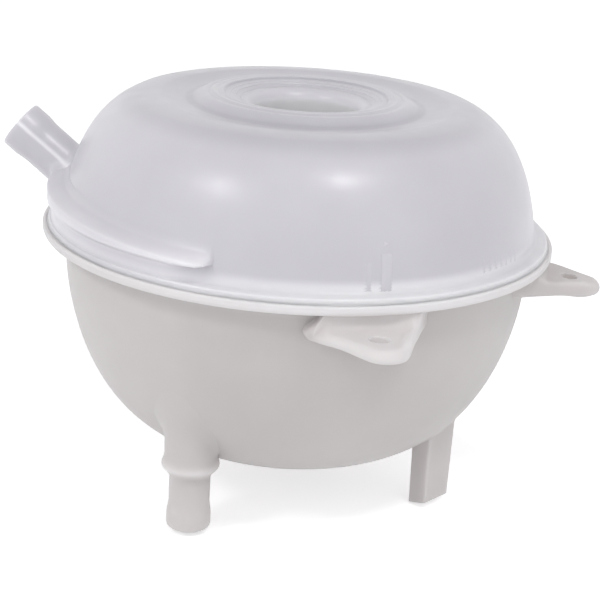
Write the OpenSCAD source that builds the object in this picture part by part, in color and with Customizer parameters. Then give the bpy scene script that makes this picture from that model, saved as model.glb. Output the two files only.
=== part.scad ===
// Coolant expansion tank: two moulded half shells of milky plastic, welded together at a flange.
// All heights are counted from the weld plane, and the origin lies in the filler neck above it.

/* [Tank] */
// Outer radius of the upper shell's wall where it meets the flange
tank_r = 83.3; // [70:0.1:95]
// How much smaller the lower shell's wall is
bowl_step = 1.6; // [0.5:0.1:3]
// Wall thickness of both shells
wall = 2.8; // [2:0.1:3.6]
// Height of the full dome curve above the flange
dome_h = 46.7; // [42:0.1:60]
// Depth of the bowl's curve below its straight collar
bowl_depth = 67.5; // [58:0.1:80]
// Height of the bowl's straight collar under the flange
bowl_collar_h = 8.6; // [6:0.1:12]

/* [Flange] */
// How far the lower flange ring stands out of the tank wall
flange_out = 6.7; // [5.6:0.1:9]
// How far the upper flange ring stands back from the lower one
flange_setback = 2; // [0.5:0.1:2.6]
// Thickness of the lower flange ring
lower_flange_t = 3.2; // [2.4:0.1:4]
// Thickness of the upper flange ring
upper_flange_t = 1.9; // [1.4:0.1:2.4]
// Chamfer along the lower ring's bottom edge
flange_chamfer = 1.5; // [0.5:0.1:2]
// Fillet between the flange and the tank wall
flange_fillet = 1.4; // [0.8:0.1:1.8]

/* [Top] */
// Radius where the dome turns into the flat crown
crown_r = 56.7; // [52:0.1:60]
// How far outside that radius the dome's own curve ends
crown_blend = 3.3; // [2:0.1:5]
// How far the crown lies below the full dome curve
crown_drop = 3.1; // [2:0.1:4]
// How far the crown dips towards the raised ring
dish_depth = 1.5; // [0.8:0.1:2.6]
// Outer radius of the raised ring
ring_r = 38.5; // [36:0.1:42]
// Height of the raised ring above the dip
ring_h = 3.2; // [2:0.1:4.4]
// Radius of the raised ring's sharp inner rim
rim_r = 29; // [27.5:0.1:31]
// How far the slope inside the rim falls towards the neck
slope_fall = 2.5; // [1.5:0.1:3.2]

/* [Filler neck] */
// Bore radius of the filler neck
neck_bore_r = 18.2; // [16:0.1:20]
// Rounding of the neck's mouth
neck_mouth_r = 4; // [2:0.1:5]
// Length of the neck's straight bore
neck_l = 12; // [8:0.5:18]

/* [Vent spigot] */
// Direction of the vent spigot around the tank, in degrees
vent_angle = 122; // [100:1:140]
// Tilt of the vent spigot above the level, in degrees
vent_tilt = 37; // [30:1:45]
// Height where the spigot's axis meets the tank wall
vent_z = 9.5; // [8:0.1:14]
// Length of the vent spigot outside the wall
vent_l = 27; // [20:0.5:36]
// Outer radius of the vent spigot's shaft
vent_r = 8.45; // [7.5:0.05:9.5]
// How much its end land is larger in radius
vent_flare = 0.5; // [0.2:0.05:0.8]
// Length of its end land
vent_land_l = 6; // [4:0.5:8]
// Bore radius of the vent spigot
vent_bore_r = 5.9; // [4:0.1:6.2]

/* [Outlet spigot] */
// Direction of the outlet spigot around the tank, in degrees
outlet_angle = -167.7; // [-175:0.1:-155]
// Distance of the outlet spigot from the tank's axis
outlet_at_r = 63.3; // [56:0.1:66]
// How far the outlet spigot reaches below the bowl
outlet_below = 14; // [11:0.1:20]
// Outer radius of the outlet spigot's shaft
outlet_r = 7; // [6:0.1:8]
// How much its end bead is larger in radius
outlet_bead = 0.6; // [0.3:0.05:0.9]
// Length of its end bead
outlet_bead_l = 5.1; // [3.5:0.1:6]
// Radius of the collar around its root
outlet_collar_r = 9.9; // [9.2:0.1:12]
// Bore radius of the outlet spigot
outlet_bore_r = 4.5; // [3:0.1:4.8]

/* [Peg] */
// Place of the locating peg's middle to the right of the tank's axis
peg_x = 18.9; // [0:0.1:26]
// Place of the peg's middle in front of the tank's axis, on the lugs' side
peg_front = 54.1; // [48:0.1:56]
// Thickness of the peg from front to back
peg_t = 8.2; // [7:0.1:11]
// Width of the peg from side to side
peg_w = 14; // [9:0.1:15]
// How far the peg's front edge reaches below the bowl
peg_below = 13.3; // [10:0.1:20]
// How much further its back edge reaches
peg_slant = 2.2; // [0:0.1:3]
// How much the peg narrows on each side towards its end
peg_draft = 0.4; // [0.2:0.1:1]

/* [Lugs] */
// Half of the angle between the two mounting lugs, in degrees
lug_half_angle = 32.3; // [28:0.1:40]
// How far a lug's tip stands out of the flange
lug_out = 19; // [16:0.1:24]
// Radius of a lug's rounded tip
lug_tip_r = 8; // [7:0.1:10]
// Width of a lug where it leaves the tank
lug_w = 41; // [34:0.5:48]
// Thickness of a lug's plate
lug_t = 3.4; // [2:0.1:4]
// Gap between the flange and the top of a lug's plate
lug_drop = 4.8; // [3:0.1:5]
// How far the rib on a lug's inner edge stands above the plate
lug_rib_up = 1.2; // [0.5:0.1:2]
// How far that rib reaches below the plate
lug_rib_down = 0.4; // [0.2:0.1:3]
// Thickness of that rib
lug_rib_t = 2.4; // [1.6:0.1:3]
// Radius of the bolt hole in a lug
lug_hole_r = 3.25; // [2.6:0.05:4.2]
// Distance of the bolt hole from the flange's edge
lug_hole_out = 7.3; // [6:0.1:10]

/* [Side band] */
// Direction of the band's first end around the tank, in degrees
band_from = 89; // [80:1:100]
// Angle that the band runs through
band_sweep = 115; // [100:1:130]
// How far the band's pad stands out of the tank wall
band_pad_out = 3.7; // [3:0.1:4.4]
// How far the band's bead stands out past its pad
band_bead_out = 1.7; // [1:0.1:2]
// Height of the pad above the flange
band_pad_h = 5.7; // [4:0.1:7]
// Height above the flange where the band's top face meets the wall
band_top_h = 9.6; // [8.5:0.1:11]
// How far that face falls from the wall to the bead
band_fall = 1.1; // [0.5:0.1:1.5]
// Tilt of that face, which lies higher at the back, in degrees
band_tilt = 2; // [0:0.1:3]

/* [Level strip] */
// Direction of the level strip around the tank, in degrees
strip_angle = -118; // [-124:0.5:-110]
// Width of the level strip
strip_w = 3.4; // [2.5:0.1:5]
// Height of the level strip above the flange
strip_h = 12.5; // [8:0.1:14]
// How far the level strip stands out of the wall
strip_out = 0.6; // [0.4:0.1:1]

/* [Hidden] */
$fn = 96;
dome_steps = 18;
bowl_steps = 18;
arc_steps = 6;
// Exponents of the two shells' curves: along the radius and along the height
dome_er = 6.34;
dome_eh = 1.54;
bowl_er = 3.789;
bowl_eh = 1.689;
// Lift of the dome curve's foot, so that it starts inside the flange's thickness
dome_z = upper_flange_t - 0.2;
bowl_r = tank_r - bowl_step;
flange_r = tank_r + flange_out;
upper_flange_r = flange_r - flange_setback;
bowl_z = -lower_flange_t - bowl_collar_h;
bowl_bottom_z = bowl_z - bowl_depth;
crown_z = dome_z + dome_h - crown_drop;
dip_z = crown_z - dish_depth;
rim_z = dip_z + ring_h;
slope_r = neck_bore_r + neck_mouth_r;
slope_z = rim_z - slope_fall;
neck_top_z = slope_z - neck_mouth_r;
neck_end_z = neck_top_z - neck_l;
band_pad_r = tank_r + band_pad_out;
band_bead_r = band_pad_r + band_bead_out;
outlet_end_z = bowl_bottom_z - outlet_below;
peg_end_z = bowl_bottom_z - peg_below;
// Part of a turn of the dome curve that is used before the crown begins
dome_turn = acos(pow((crown_r + crown_blend) / tank_r, dome_er / 2));
lug_top_z = -lower_flange_t - lug_drop;
lug_tip_at = flange_r + lug_out - lug_tip_r;
lug_hole_at = flange_r + lug_hole_out;
// Overlap that lets one shape sink into another
sink = 6;

// Points of an arc about a centre, from one angle to another
function arc(centre, r, from, to, n) =
    [for (i = [0:n]) centre + r * [cos(from + (to - from) * i / n), sin(from + (to - from) * i / n)]];

// A rounded quarter outline: radius and height follow powers of the cosine and the sine
function quarter(r, h, er, eh, turn, n) =
    [for (i = [0:n]) [r * pow(cos(turn * i / n), 2 / er), h * pow(sin(turn * i / n), 2 / eh)]];

// A bend from one point to another that is pulled towards a third
function bend(from, pull, to, n) =
    [for (i = [1:n]) let (s = i / n) pow(1 - s, 2) * from + 2 * s * (1 - s) * pull + s * s * to];

function lifted(points, z) = [for (p = points) p + [0, z]];
function reversed(points) = [for (i = [len(points) - 1:-1:0]) points[i]];

// The dome's outline from the flange to the crown, for a shell set back by a thickness
function dome_line(back) =
    lifted(quarter(tank_r - back, dome_h - back, dome_er, dome_eh, dome_turn, dome_steps), dome_z);

// The crown's outline from the end of the dome to the dip beside the raised ring
function crown_line(back) =
    let (line = dome_line(back), last = line[len(line) - 1])
    concat(bend(last, [crown_r, crown_z + 0.2 - back], [crown_r - 5.7, crown_z - back], arc_steps),
        [[ring_r + back / 2, dip_z - back]]);

// The bowl's outline from its collar to its lowest point, set back by a thickness
function bowl_line(back) =
    let (curve = quarter(bowl_r - back, bowl_depth - back, bowl_er, bowl_eh, 90, bowl_steps))
    [for (p = curve) [p[0], bowl_z - p[1]]];

// Section of the upper shell's outside, filled to the axis
module upper_outline()
    polygon(concat(
        [[0, 0], [upper_flange_r, 0], [upper_flange_r, upper_flange_t]],
        arc([tank_r + flange_fillet, upper_flange_t + flange_fillet], flange_fillet, 270, 180, arc_steps),
        [for (p = dome_line(0)) if (p[1] > upper_flange_t + flange_fillet) p],
        crown_line(0),
        [[ring_r - 1, rim_z - 1], [ring_r - 2.2, rim_z - 0.7], [ring_r - 3, rim_z - 0.4],
         [ring_r - 5.6, rim_z - 0.35], [ring_r - 6.2, rim_z - 0.05], [rim_r, rim_z],
         [rim_r - 0.5, rim_z - 0.6], [slope_r + 3.2, slope_z + 0.9], [slope_r + 2.9, slope_z + 0.4],
         [slope_r, slope_z], [0, slope_z]]));

// Section of the space inside the upper shell, around the filler neck's tube
module upper_inside()
    polygon(concat(
        [[0, -1], [tank_r - wall, -1]],
        [for (p = dome_line(wall)) if (p[1] > 0) p],
        crown_line(wall),
        [[ring_r - 2.2, rim_z - wall - 0.7], [rim_r - 2, rim_z - wall - 1.2],
         [neck_bore_r + wall, slope_z - wall], [neck_bore_r + wall, neck_end_z], [0, neck_end_z]]));

// Straight bore of the filler neck with its rounded mouth
module neck_bore()
    rotate_extrude()
        polygon(concat([[0, neck_end_z - 1], [neck_bore_r, neck_end_z - 1]],
            arc([slope_r, neck_top_z], neck_mouth_r, 180, 90, arc_steps),
            [[slope_r, rim_z + 1], [0, rim_z + 1]]));

// Places a child along the vent spigot's axis, starting where it meets the tank wall
module along_vent()
    rotate([0, 0, vent_angle])
        translate([tank_r - 0.8, 0, vent_z])
            rotate([0, 90 - vent_tilt, 0])
                children();

module vent_outside()
    along_vent()
        rotate_extrude()
            polygon([[0, -2 * sink], [vent_r, -2 * sink], [vent_r, vent_l - vent_land_l - 4],
                [vent_r + vent_flare, vent_l - vent_land_l], [vent_r + vent_flare, vent_l], [0, vent_l]]);

module vent_bore()
    along_vent()
        translate([0, 0, -3 * sink])
            cylinder(r = vent_bore_r, h = vent_l + 3 * sink + 1);

// Everything under the band's top face: a shallow cone with a chamfered edge, tilted towards the front
module under_band_top()
    translate([0, 0, upper_flange_t + band_top_h])
        rotate([band_tilt, 0, 0])
            rotate_extrude()
                let (far_r = band_bead_r + sink, edge_z = -band_fall - 0.7)
                    polygon([[0, -band_top_h - 2 * sink], [far_r, -band_top_h - 2 * sink],
                        [far_r, edge_z - sink], [band_bead_r, edge_z], [band_bead_r - 0.7, -band_fall],
                        [tank_r, 0], [0, 0]]);

// Band that runs part of the way round the upper shell: a pad with a bead on top
module side_band()
    intersection() {
        rotate([0, 0, band_from])
            rotate_extrude(angle = band_sweep)
                let (pad_z = upper_flange_t + band_pad_h, top_z = pad_z + band_top_h)
                    polygon([[tank_r - sink, upper_flange_t / 2], [band_pad_r, upper_flange_t / 2],
                        [band_pad_r, pad_z], [band_bead_r - 0.5, pad_z + 0.2], [band_bead_r, pad_z + 0.7],
                        [band_bead_r, top_z], [tank_r - sink, top_z]]);
        under_band_top();
    }

// Low bar on the wall beside the level marks
module level_strip()
    let (half = atan(strip_w / 2 / tank_r))
        rotate([0, 0, strip_angle - half])
            rotate_extrude(angle = 2 * half)
                polygon(concat(
                    [for (p = dome_line(-strip_out)) if (p[1] < upper_flange_t + strip_h) p],
                    [[tank_r - 1.5, upper_flange_t + strip_h], [tank_r - sink, upper_flange_t + strip_h],
                     [tank_r - sink, dome_z]]));

// Everything under the weld plane, where the upper shell ends
module below_weld()
    mirror([0, 0, 1])
        cylinder(r = flange_r + vent_l, h = flange_r);

module upper_shell()
    color([0.86, 0.85, 0.87])
        from_neck()
            difference() {
                union() {
                    rotate_extrude() upper_outline();
                    vent_outside();
                    side_band();
                    level_strip();
                }
                rotate_extrude() upper_inside();
                vent_bore();
                neck_bore();
                below_weld();
            }

// Section of the lower shell's outside, filled to the axis
module lower_outline()
    polygon(concat(
        [[0, 0], [flange_r, 0], [flange_r, flange_chamfer - lower_flange_t],
         [flange_r - flange_chamfer, -lower_flange_t]],
        arc([bowl_r + flange_fillet, -lower_flange_t - flange_fillet], flange_fillet, 90, 180, arc_steps),
        bowl_line(0)));

module lower_inside()
    polygon(concat([[0, 1], [bowl_r - wall, 1]], bowl_line(wall)));

// Outlet spigot with its collar and end bead, filled
module outlet_outside()
    rotate([0, 0, outlet_angle])
        translate([outlet_at_r, 0, 0])
            rotate_extrude()
                let (bead_r = outlet_r + outlet_bead, top_z = outlet_end_z + outlet_bead_l + 0.7,
                     root_z = bowl_bottom_z + 9, high_z = bowl_z - bowl_depth / 2)
                    polygon([[0, high_z], [outlet_collar_r - 0.9, high_z],
                        [outlet_collar_r - 0.9, root_z + 4],
                        [outlet_collar_r, root_z + 0.3], [outlet_collar_r - 0.3, root_z - 0.9],
                        [outlet_r, root_z - 3.5], [outlet_r, top_z + 2], [bead_r, top_z],
                        [bead_r, outlet_end_z + 0.7], [bead_r - 0.6, outlet_end_z], [0, outlet_end_z]]);

module outlet_bore()
    rotate([0, 0, outlet_angle])
        translate([outlet_at_r, 0, outlet_end_z - 1])
            cylinder(r = outlet_bore_r, h = bowl_depth);

// Outline of the locating peg seen from one side: a bar that narrows towards its end
module peg_side(size, slant = 0)
    let (top_z = bowl_bottom_z + bowl_depth / 2, end = size / 2 - peg_draft)
        polygon([[-size / 2, top_z], [-end, peg_end_z], [end, peg_end_z - slant], [size / 2, top_z]]);

module peg()
    translate([peg_x, -peg_front, 0])
        intersection() {
            translate([0, peg_t, -peg_slant])
                rotate([90, 0, 0])
                    linear_extrude(2 * peg_t) peg_side(peg_w);
            translate([-peg_w, 0, 0])
                rotate([90, 0, 90])
                    linear_extrude(2 * peg_w) peg_side(peg_t, peg_slant);
        }

// Angle of a lug's edge where it touches the rounded tip
function lug_touch() =
    let (run = lug_tip_at - bowl_r, half = lug_w / 2)
    90 - atan2(half, run) + asin(lug_tip_r / norm([run, half]));

// Plan of a lug: a triangle with a rounded tip, pointing away from the tank's axis
module lug_plan()
    polygon(concat([[bowl_r - 1.4 * sink, -lug_w / 2], [bowl_r, -lug_w / 2]],
        arc([lug_tip_at, 0], lug_tip_r, -lug_touch(), lug_touch(), 2 * arc_steps),
        [[bowl_r, lug_w / 2], [bowl_r - 1.4 * sink, lug_w / 2]]));

// Plan of the rib along one edge of a lug
module lug_rib_plan()
    let (out = [cos(lug_touch()), sin(lug_touch())],
         tip = [lug_tip_at, 0] + lug_tip_r * out,
         root = [bowl_r, lug_w / 2])
        polygon([root, tip, tip - lug_rib_t * out, root - lug_rib_t * out, root - [sink, lug_rib_t]]);

// One lug: its plate, the block that ties it to the flange, and the rib on its inner edge
module lug()
    rotate([0, 0, -90 - lug_half_angle]) {
        difference() {
            union() {
                translate([0, 0, lug_top_z - lug_t]) linear_extrude(lug_t) lug_plan();
                translate([0, 0, lug_top_z - lug_t - lug_rib_down])
                    linear_extrude(lug_rib_down + lug_t + lug_rib_up) lug_rib_plan();
            }
            translate([lug_hole_at, 0, lug_top_z - 2 * lug_t]) cylinder(r = lug_hole_r, h = 3 * lug_t);
        }
        intersection() {
            translate([0, 0, lug_top_z - lug_t / 2])
                linear_extrude(lug_drop + lug_t / 2 + lower_flange_t / 2) lug_plan();
            translate([0, 0, bowl_z])
                cylinder(r = flange_r - flange_chamfer - 0.1, h = bowl_collar_h + lower_flange_t);
        }
    }

module lower_shell()
    color([0.8, 0.78, 0.77])
        from_neck()
            difference() {
                union() {
                    rotate_extrude() lower_outline();
                    outlet_outside();
                    peg();
                    lug();
                    mirror([1, 0, 0]) lug();
                }
                rotate_extrude() lower_inside();
                outlet_bore();
            }

// Moves the origin from the weld plane up to the filler neck's bore
module from_neck() translate([0, 0, -neck_top_z]) children();

upper_shell();
lower_shell();
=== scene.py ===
"""Coolant expansion tank: the looks of its two welded half shells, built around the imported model.

Shapes are worked out in millimetres, with heights counted from the weld plane, and put into the frame in
metres. Each is a grid of points: an outline turned round an axis, or sections laid one behind the other.
"""

from __future__ import annotations

import logging
import math
from collections.abc import Callable
from dataclasses import dataclass
from enum import Enum

import bmesh
import bpy
import numpy as np
from mathutils import Matrix, Vector


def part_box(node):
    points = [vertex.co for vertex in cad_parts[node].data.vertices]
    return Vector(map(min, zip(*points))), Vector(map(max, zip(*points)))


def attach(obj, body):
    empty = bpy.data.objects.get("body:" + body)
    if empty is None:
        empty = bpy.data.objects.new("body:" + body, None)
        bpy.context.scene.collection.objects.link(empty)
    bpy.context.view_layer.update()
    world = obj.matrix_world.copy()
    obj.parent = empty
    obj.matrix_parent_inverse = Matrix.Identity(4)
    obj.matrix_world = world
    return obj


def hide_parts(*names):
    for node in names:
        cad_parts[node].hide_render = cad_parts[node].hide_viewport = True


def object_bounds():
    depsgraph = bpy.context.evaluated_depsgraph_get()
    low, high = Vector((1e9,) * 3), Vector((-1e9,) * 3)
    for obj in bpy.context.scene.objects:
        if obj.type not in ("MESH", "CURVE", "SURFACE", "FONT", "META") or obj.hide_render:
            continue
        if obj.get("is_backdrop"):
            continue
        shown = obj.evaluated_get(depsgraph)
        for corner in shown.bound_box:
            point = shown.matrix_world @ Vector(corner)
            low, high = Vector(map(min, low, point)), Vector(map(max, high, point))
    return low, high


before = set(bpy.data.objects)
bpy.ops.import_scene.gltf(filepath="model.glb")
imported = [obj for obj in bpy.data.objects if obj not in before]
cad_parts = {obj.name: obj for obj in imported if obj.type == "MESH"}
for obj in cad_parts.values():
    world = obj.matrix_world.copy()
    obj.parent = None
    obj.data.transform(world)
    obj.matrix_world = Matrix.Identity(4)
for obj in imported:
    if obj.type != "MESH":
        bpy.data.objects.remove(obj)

LOG = logging.getLogger("coolant_tank")
MM = 0.001
Array = np.ndarray

# Grids: columns round the walls, rows inside the bowl, radius at its poles, steps of a search.
WALL_COLUMNS = 300
INSIDE_ROWS = 40
POLE_R = 0.05
HALVINGS = 40

# Shades: the attribute that holds them, the angle over the front lug and how wide the painted light on the
# flange spreads there.
SHADE_NAME = "milk_and_painted_light"
FRONT_ANGLE = -120.0
FRONT_SPREAD = 38.0

# Fused meshes: edges sharper than this stay sharp, and points and slivers smaller than these merge.
SHARP_DEG = 34.0
MERGE_M = 2e-6
SLIVER_M = 1e-7

# Shades after a fusion: steps and bits of a point's place, and rounds of passing a shade on.
KEY_STEPS_PER_M = 5e6
KEY_BITS = 21
SPREAD_ROUNDS = 4

# Studio and finishes: the floor's gap under the tank, a noise pattern's usual range, and plain white.
FLOOR_GAP_M = 0.0002
NOISE_SPAN = (0.3, 0.7)
WHITE = (1.0, 1.0, 1.0, 1.0)


class Shade(Enum):
    """The tone of the milky plastic at a place, from 0 to 1: paler where it is thick, with painted light and
    painted shade laid on.
    """

    PEG = 0.03
    BORE = 0.2
    WALL = 0.35
    MARK = 0.39
    POINTER = 0.5
    # Bolt holes' walls are painted pale, as painted light where the hole lies in shade.
    BOLT_HOLE = 0.6
    # Palest tone: thick plastic, and painted light.
    PALEST_TONE = 1.0


class Join(Enum):
    """How a second shape is joined with a piece."""

    FUSE = "UNION"
    CUT = "DIFFERENCE"


def polar(angle_deg: float | Array) -> Array:
    """Give the unit vectors in plan for angles in degrees.

    Args:
        angle_deg: Angle or angles from +X towards +Y.

    Returns:
        The cosines and sines stacked on the last axis.
    """
    angle = np.radians(angle_deg)
    return np.stack([np.cos(angle), np.sin(angle)], axis=-1)


def smooth_step(low: float, high: float, value: Array) -> Array:
    """Rise smoothly from 0 at low to 1 at high: 3 t squared minus 2 t cubed, t clipped to 0..1."""
    t = np.clip((np.asarray(value, float) - low) / (high - low), 0.0, 1.0)
    return t * t * (3.0 - 2.0 * t)


def hump(value: Array, middle: float, width: float) -> Array:
    """Give a bell of height 1: e to the minus square of the distance from middle over width."""
    return np.exp(-(((np.asarray(value, float) - middle) / width) ** 2))


def turn_gap(angle: Array, to: float) -> Array:
    """Give the signed difference of two angles in degrees, wrapped into -180..180."""
    return (np.asarray(angle, float) - to + 180.0) % 360.0 - 180.0


def over_front_lug(angle: Array) -> Array:
    """Give 1 at the angle over the front lug, fading as a bell to both sides; the flange is painted paler
    there as painted light.
    """
    return hump(turn_gap(angle, FRONT_ANGLE), 0.0, FRONT_SPREAD)


def arc(centre: tuple[float, float], radius: float, start: float, end: float, count: int) -> Array:
    """Give points of a circular arc: the centre plus radius times the unit vector of each angle.

    Args:
        centre: Radius and height of the arc's centre.
        radius: The arc's radius.
        start: First angle in degrees.
        end: Last angle in degrees.
        count: Number of points.

    Returns:
        The points, one row each.
    """
    return np.asarray(centre, float) + radius * polar(np.linspace(start, end, count))


def line(start: tuple[float, float], end: tuple[float, float], count: int) -> Array:
    """Give evenly spaced points from start towards end, without the last one."""
    share = np.linspace(0.0, 1.0, count, endpoint=False)[:, None]
    return np.asarray(start, float) * (1.0 - share) + np.asarray(end, float) * share


def bend(start: Array, pull: Array, end: Array, count: int) -> Array:
    """Give a quadratic curve: (1-t)^2 start + 2t(1-t) pull + t^2 end, without its first point."""
    t = np.linspace(0.0, 1.0, count + 1)[1:, None]
    return (1 - t) ** 2 * np.asarray(start) + 2 * t * (1 - t) * np.asarray(pull) + t * t * np.asarray(end)


def quarter(radius: float, height: float, along: float, up: float, turn: float, count: int) -> Array:
    """Give a rounded quarter outline whose radius and height follow powers of the cosine and the sine.

    Args:
        radius: Radius at the foot.
        height: Height at the axis.
        along: Exponent along the radius.
        up: Exponent along the height.
        turn: Part of the quarter turn that is used, in degrees.
        count: Number of points.

    Returns:
        Rows of radius and height.
    """
    angle = np.radians(np.linspace(0.0, turn, count))
    cosine = np.clip(np.cos(angle), 0.0, None)
    return np.stack([radius * cosine ** (2 / along), height * np.sin(angle) ** (2 / up)], axis=1)


def respaced(points: Array, step: float) -> Array:
    """Fill long stretches of an outline with points no further apart than step.

    Args:
        points: Rows of the outline's corners.
        step: The widest gap that is left.

    Returns:
        The corners and the points between them, in order.
    """
    pieces = []
    for first, second in zip(points[:-1], points[1:]):
        count = max(1, math.ceil(float(np.linalg.norm(second - first)) / step))
        pieces.append(first + (second - first) * np.linspace(0, 1, count, endpoint=False)[:, None])
    return np.concatenate([*pieces, points[-1:]])


def between(first: Array, second: Array, shares: Array) -> Array:
    """Blend from one row of points to another at the shares given, as (point, share, coordinate)."""
    return first[:, None] * (1.0 - shares[None, :, None]) + second[:, None] * shares[None, :, None]


class MeshParts:
    """Collects grids of points into one mesh, with a shade at each point for thickness, painted light and
    painted shade.
    """

    def __init__(self, weld_z: float) -> None:
        """Start empty.

        Args:
            weld_z: Height of the weld plane in the frame, in metres.
        """
        self.weld_z = weld_z
        self.points: list[Array] = []
        self.faces: list[list[int]] = []
        self.shades: list[Array] = []
        self.count = 0

    def add_grid(self, grid: Array, shade: Array | float, wrap_rows: bool, wrap_columns: bool,
                 cap_first: bool = False, cap_last: bool = False) -> None:
        """Add a grid of points that closes on itself as quads, row by row, with its faces outwards.

        Args:
            grid: Points as (rows, columns, 3), in millimetres from the weld plane.
            shade: One shade, or one for each point as (rows, columns).
            wrap_rows: Whether the last row joins the first.
            wrap_columns: Whether the last column joins the first.
            cap_first: Whether the first row is closed by a fan to its middle.
            cap_last: Whether the last row is closed by a fan to its middle.
        """
        rows, columns = grid.shape[:2]
        flat = grid.reshape(-1, 3)
        tones = np.broadcast_to(np.asarray(shade, float), (rows, columns)).ravel()
        index = np.arange(rows * columns).reshape(rows, columns)
        row = np.arange(rows if wrap_rows else rows - 1)[:, None]
        column = np.arange(columns if wrap_columns else columns - 1)
        after, beside = (row + 1) % rows, (column + 1) % columns
        corners = [index[row, column], index[row, beside], index[after, beside], index[after, column]]
        quads = np.stack(corners, axis=-1).reshape(-1, 4)
        fans = [np.empty((0, 3), int)]
        for wanted, ring, forward in ((cap_first, index[0], True), (cap_last, index[-1], False)):
            if wanted:
                middle = np.full(columns, len(flat))
                flat = np.vstack([flat, flat[ring].mean(axis=0)])
                tones = np.append(tones, tones[ring].mean())
                pair = (np.roll(ring, -1), ring) if forward else (ring, np.roll(ring, -1))
                fans.append(np.stack([middle, *pair], axis=-1))
        triangles = np.concatenate([quads[:, :3], quads[:, [0, 2, 3]], *fans])
        first, second, third = (flat[triangles[:, i]] for i in range(3))
        step = -1 if (np.cross(first, second) * third).sum() < 0.0 else 1
        for faces in (quads, np.concatenate(fans)):
            self.faces += (faces[:, ::step] + self.count).tolist()
        self.points.append(flat)
        self.shades.append(tones)
        self.count += len(flat)

    def add_tube(self, grid: Array, shade: Array | float) -> None:
        """Add a grid whose columns close into rings, with its first and last ring capped."""
        self.add_grid(grid, shade, wrap_rows=False, wrap_columns=True, cap_first=True, cap_last=True)

    def build(self, name: str) -> bpy.types.Object:
        """Make the object.

        Args:
            name: The object's name.

        Returns:
            The object, at the origin, with its place in its mesh.
        """
        points = np.concatenate(self.points) * MM
        points[:, 2] += self.weld_z
        mesh = bpy.data.meshes.new(name)
        mesh.from_pydata(points.tolist(), [], self.faces)
        mesh.validate(clean_customdata=False)
        shade = mesh.attributes.new(SHADE_NAME, "FLOAT", "POINT")
        shade.data.foreach_set("value", np.concatenate(self.shades).astype(np.float32))
        piece = bpy.data.objects.new(name, mesh)
        bpy.context.scene.collection.objects.link(piece)
        return piece


@dataclass(frozen=True)
class TankSizes:
    """Driving sizes of the tank in millimetres, and angles in degrees."""

    tank_r: float = 83.3
    bowl_step: float = 1.6
    wall: float = 2.8
    dome_h: float = 46.7
    dome_sink: float = 0.2
    bowl_depth: float = 67.5
    bowl_collar_h: float = 8.6
    flange_out: float = 6.7
    flange_setback: float = 2.0
    lower_flange_t: float = 3.2
    upper_flange_t: float = 1.9
    weld_out: float = 0.66
    weld_dip: float = 0.1
    foot_fillet: float = 1.4
    crown_r: float = 56.7
    crown_drop: float = 3.1
    dish_depth: float = 1.5
    ring_r: float = 38.5
    ring_h: float = 3.2
    rim_r: float = 29.0
    slope_fall: float = 2.5
    neck_bore_r: float = 18.2
    neck_mouth_r: float = 4.0
    neck_l: float = 12.0
    dome_turn: float = 69.3
    dome_along: float = 6.34
    dome_up: float = 1.54
    dome_join_z: float = 19.5
    bowl_along: float = 3.789
    bowl_up: float = 1.689

    @property
    def flange_r(self) -> float:
        """Give the lower flange ring's outer radius."""
        return self.tank_r + self.flange_out

    @property
    def upper_flange_r(self) -> float:
        """Give the upper flange ring's outer radius."""
        return self.flange_r - self.flange_setback

    @property
    def bowl_r(self) -> float:
        """Give the bowl's outer radius at its collar."""
        return self.tank_r - self.bowl_step

    @property
    def bowl_z(self) -> float:
        """Give the height where the bowl's curve begins."""
        return -self.lower_flange_t - self.bowl_collar_h

    @property
    def bowl_bottom_z(self) -> float:
        """Give the height of the bowl's lowest point."""
        return self.bowl_z - self.bowl_depth

    @property
    def dome_z(self) -> float:
        """Give the height where the dome's curve begins."""
        return self.upper_flange_t - self.dome_sink

    @property
    def crown_z(self) -> float:
        """Give the crown's height."""
        return self.dome_z + self.dome_h - self.crown_drop

    @property
    def dip_z(self) -> float:
        """Give the height of the dip beside the raised ring."""
        return self.crown_z - self.dish_depth

    @property
    def rim_z(self) -> float:
        """Give the height of the raised ring's inner rim."""
        return self.dip_z + self.ring_h

    @property
    def slope_z(self) -> float:
        """Give the height where the neck's rounded mouth begins."""
        return self.rim_z - self.slope_fall

    @property
    def neck_top_z(self) -> float:
        """Give the height where the neck's straight bore begins."""
        return self.slope_z - self.neck_mouth_r

    def dome_radius(self, height: Array) -> Array:
        """Give the dome's outer radius at a height: R (1 - u^p)^(1/q), u the share of the dome's height."""
        share = np.clip((np.asarray(height, float) - self.dome_z) / self.dome_h, 0.0, 1.0)
        return self.tank_r * (1.0 - share**self.dome_up) ** (1.0 / self.dome_along)

    def bowl_height(self, radius: Array) -> Array:
        """Give the bowl's outer height at a radius: bowl_z - depth (1 - u^q)^(1/p), u the share of bowl_r."""
        share = np.clip(np.asarray(radius, float) / self.bowl_r, 0.0, 0.9999)
        return self.bowl_z - self.bowl_depth * (1.0 - share**self.bowl_along) ** (1.0 / self.bowl_up)


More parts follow.
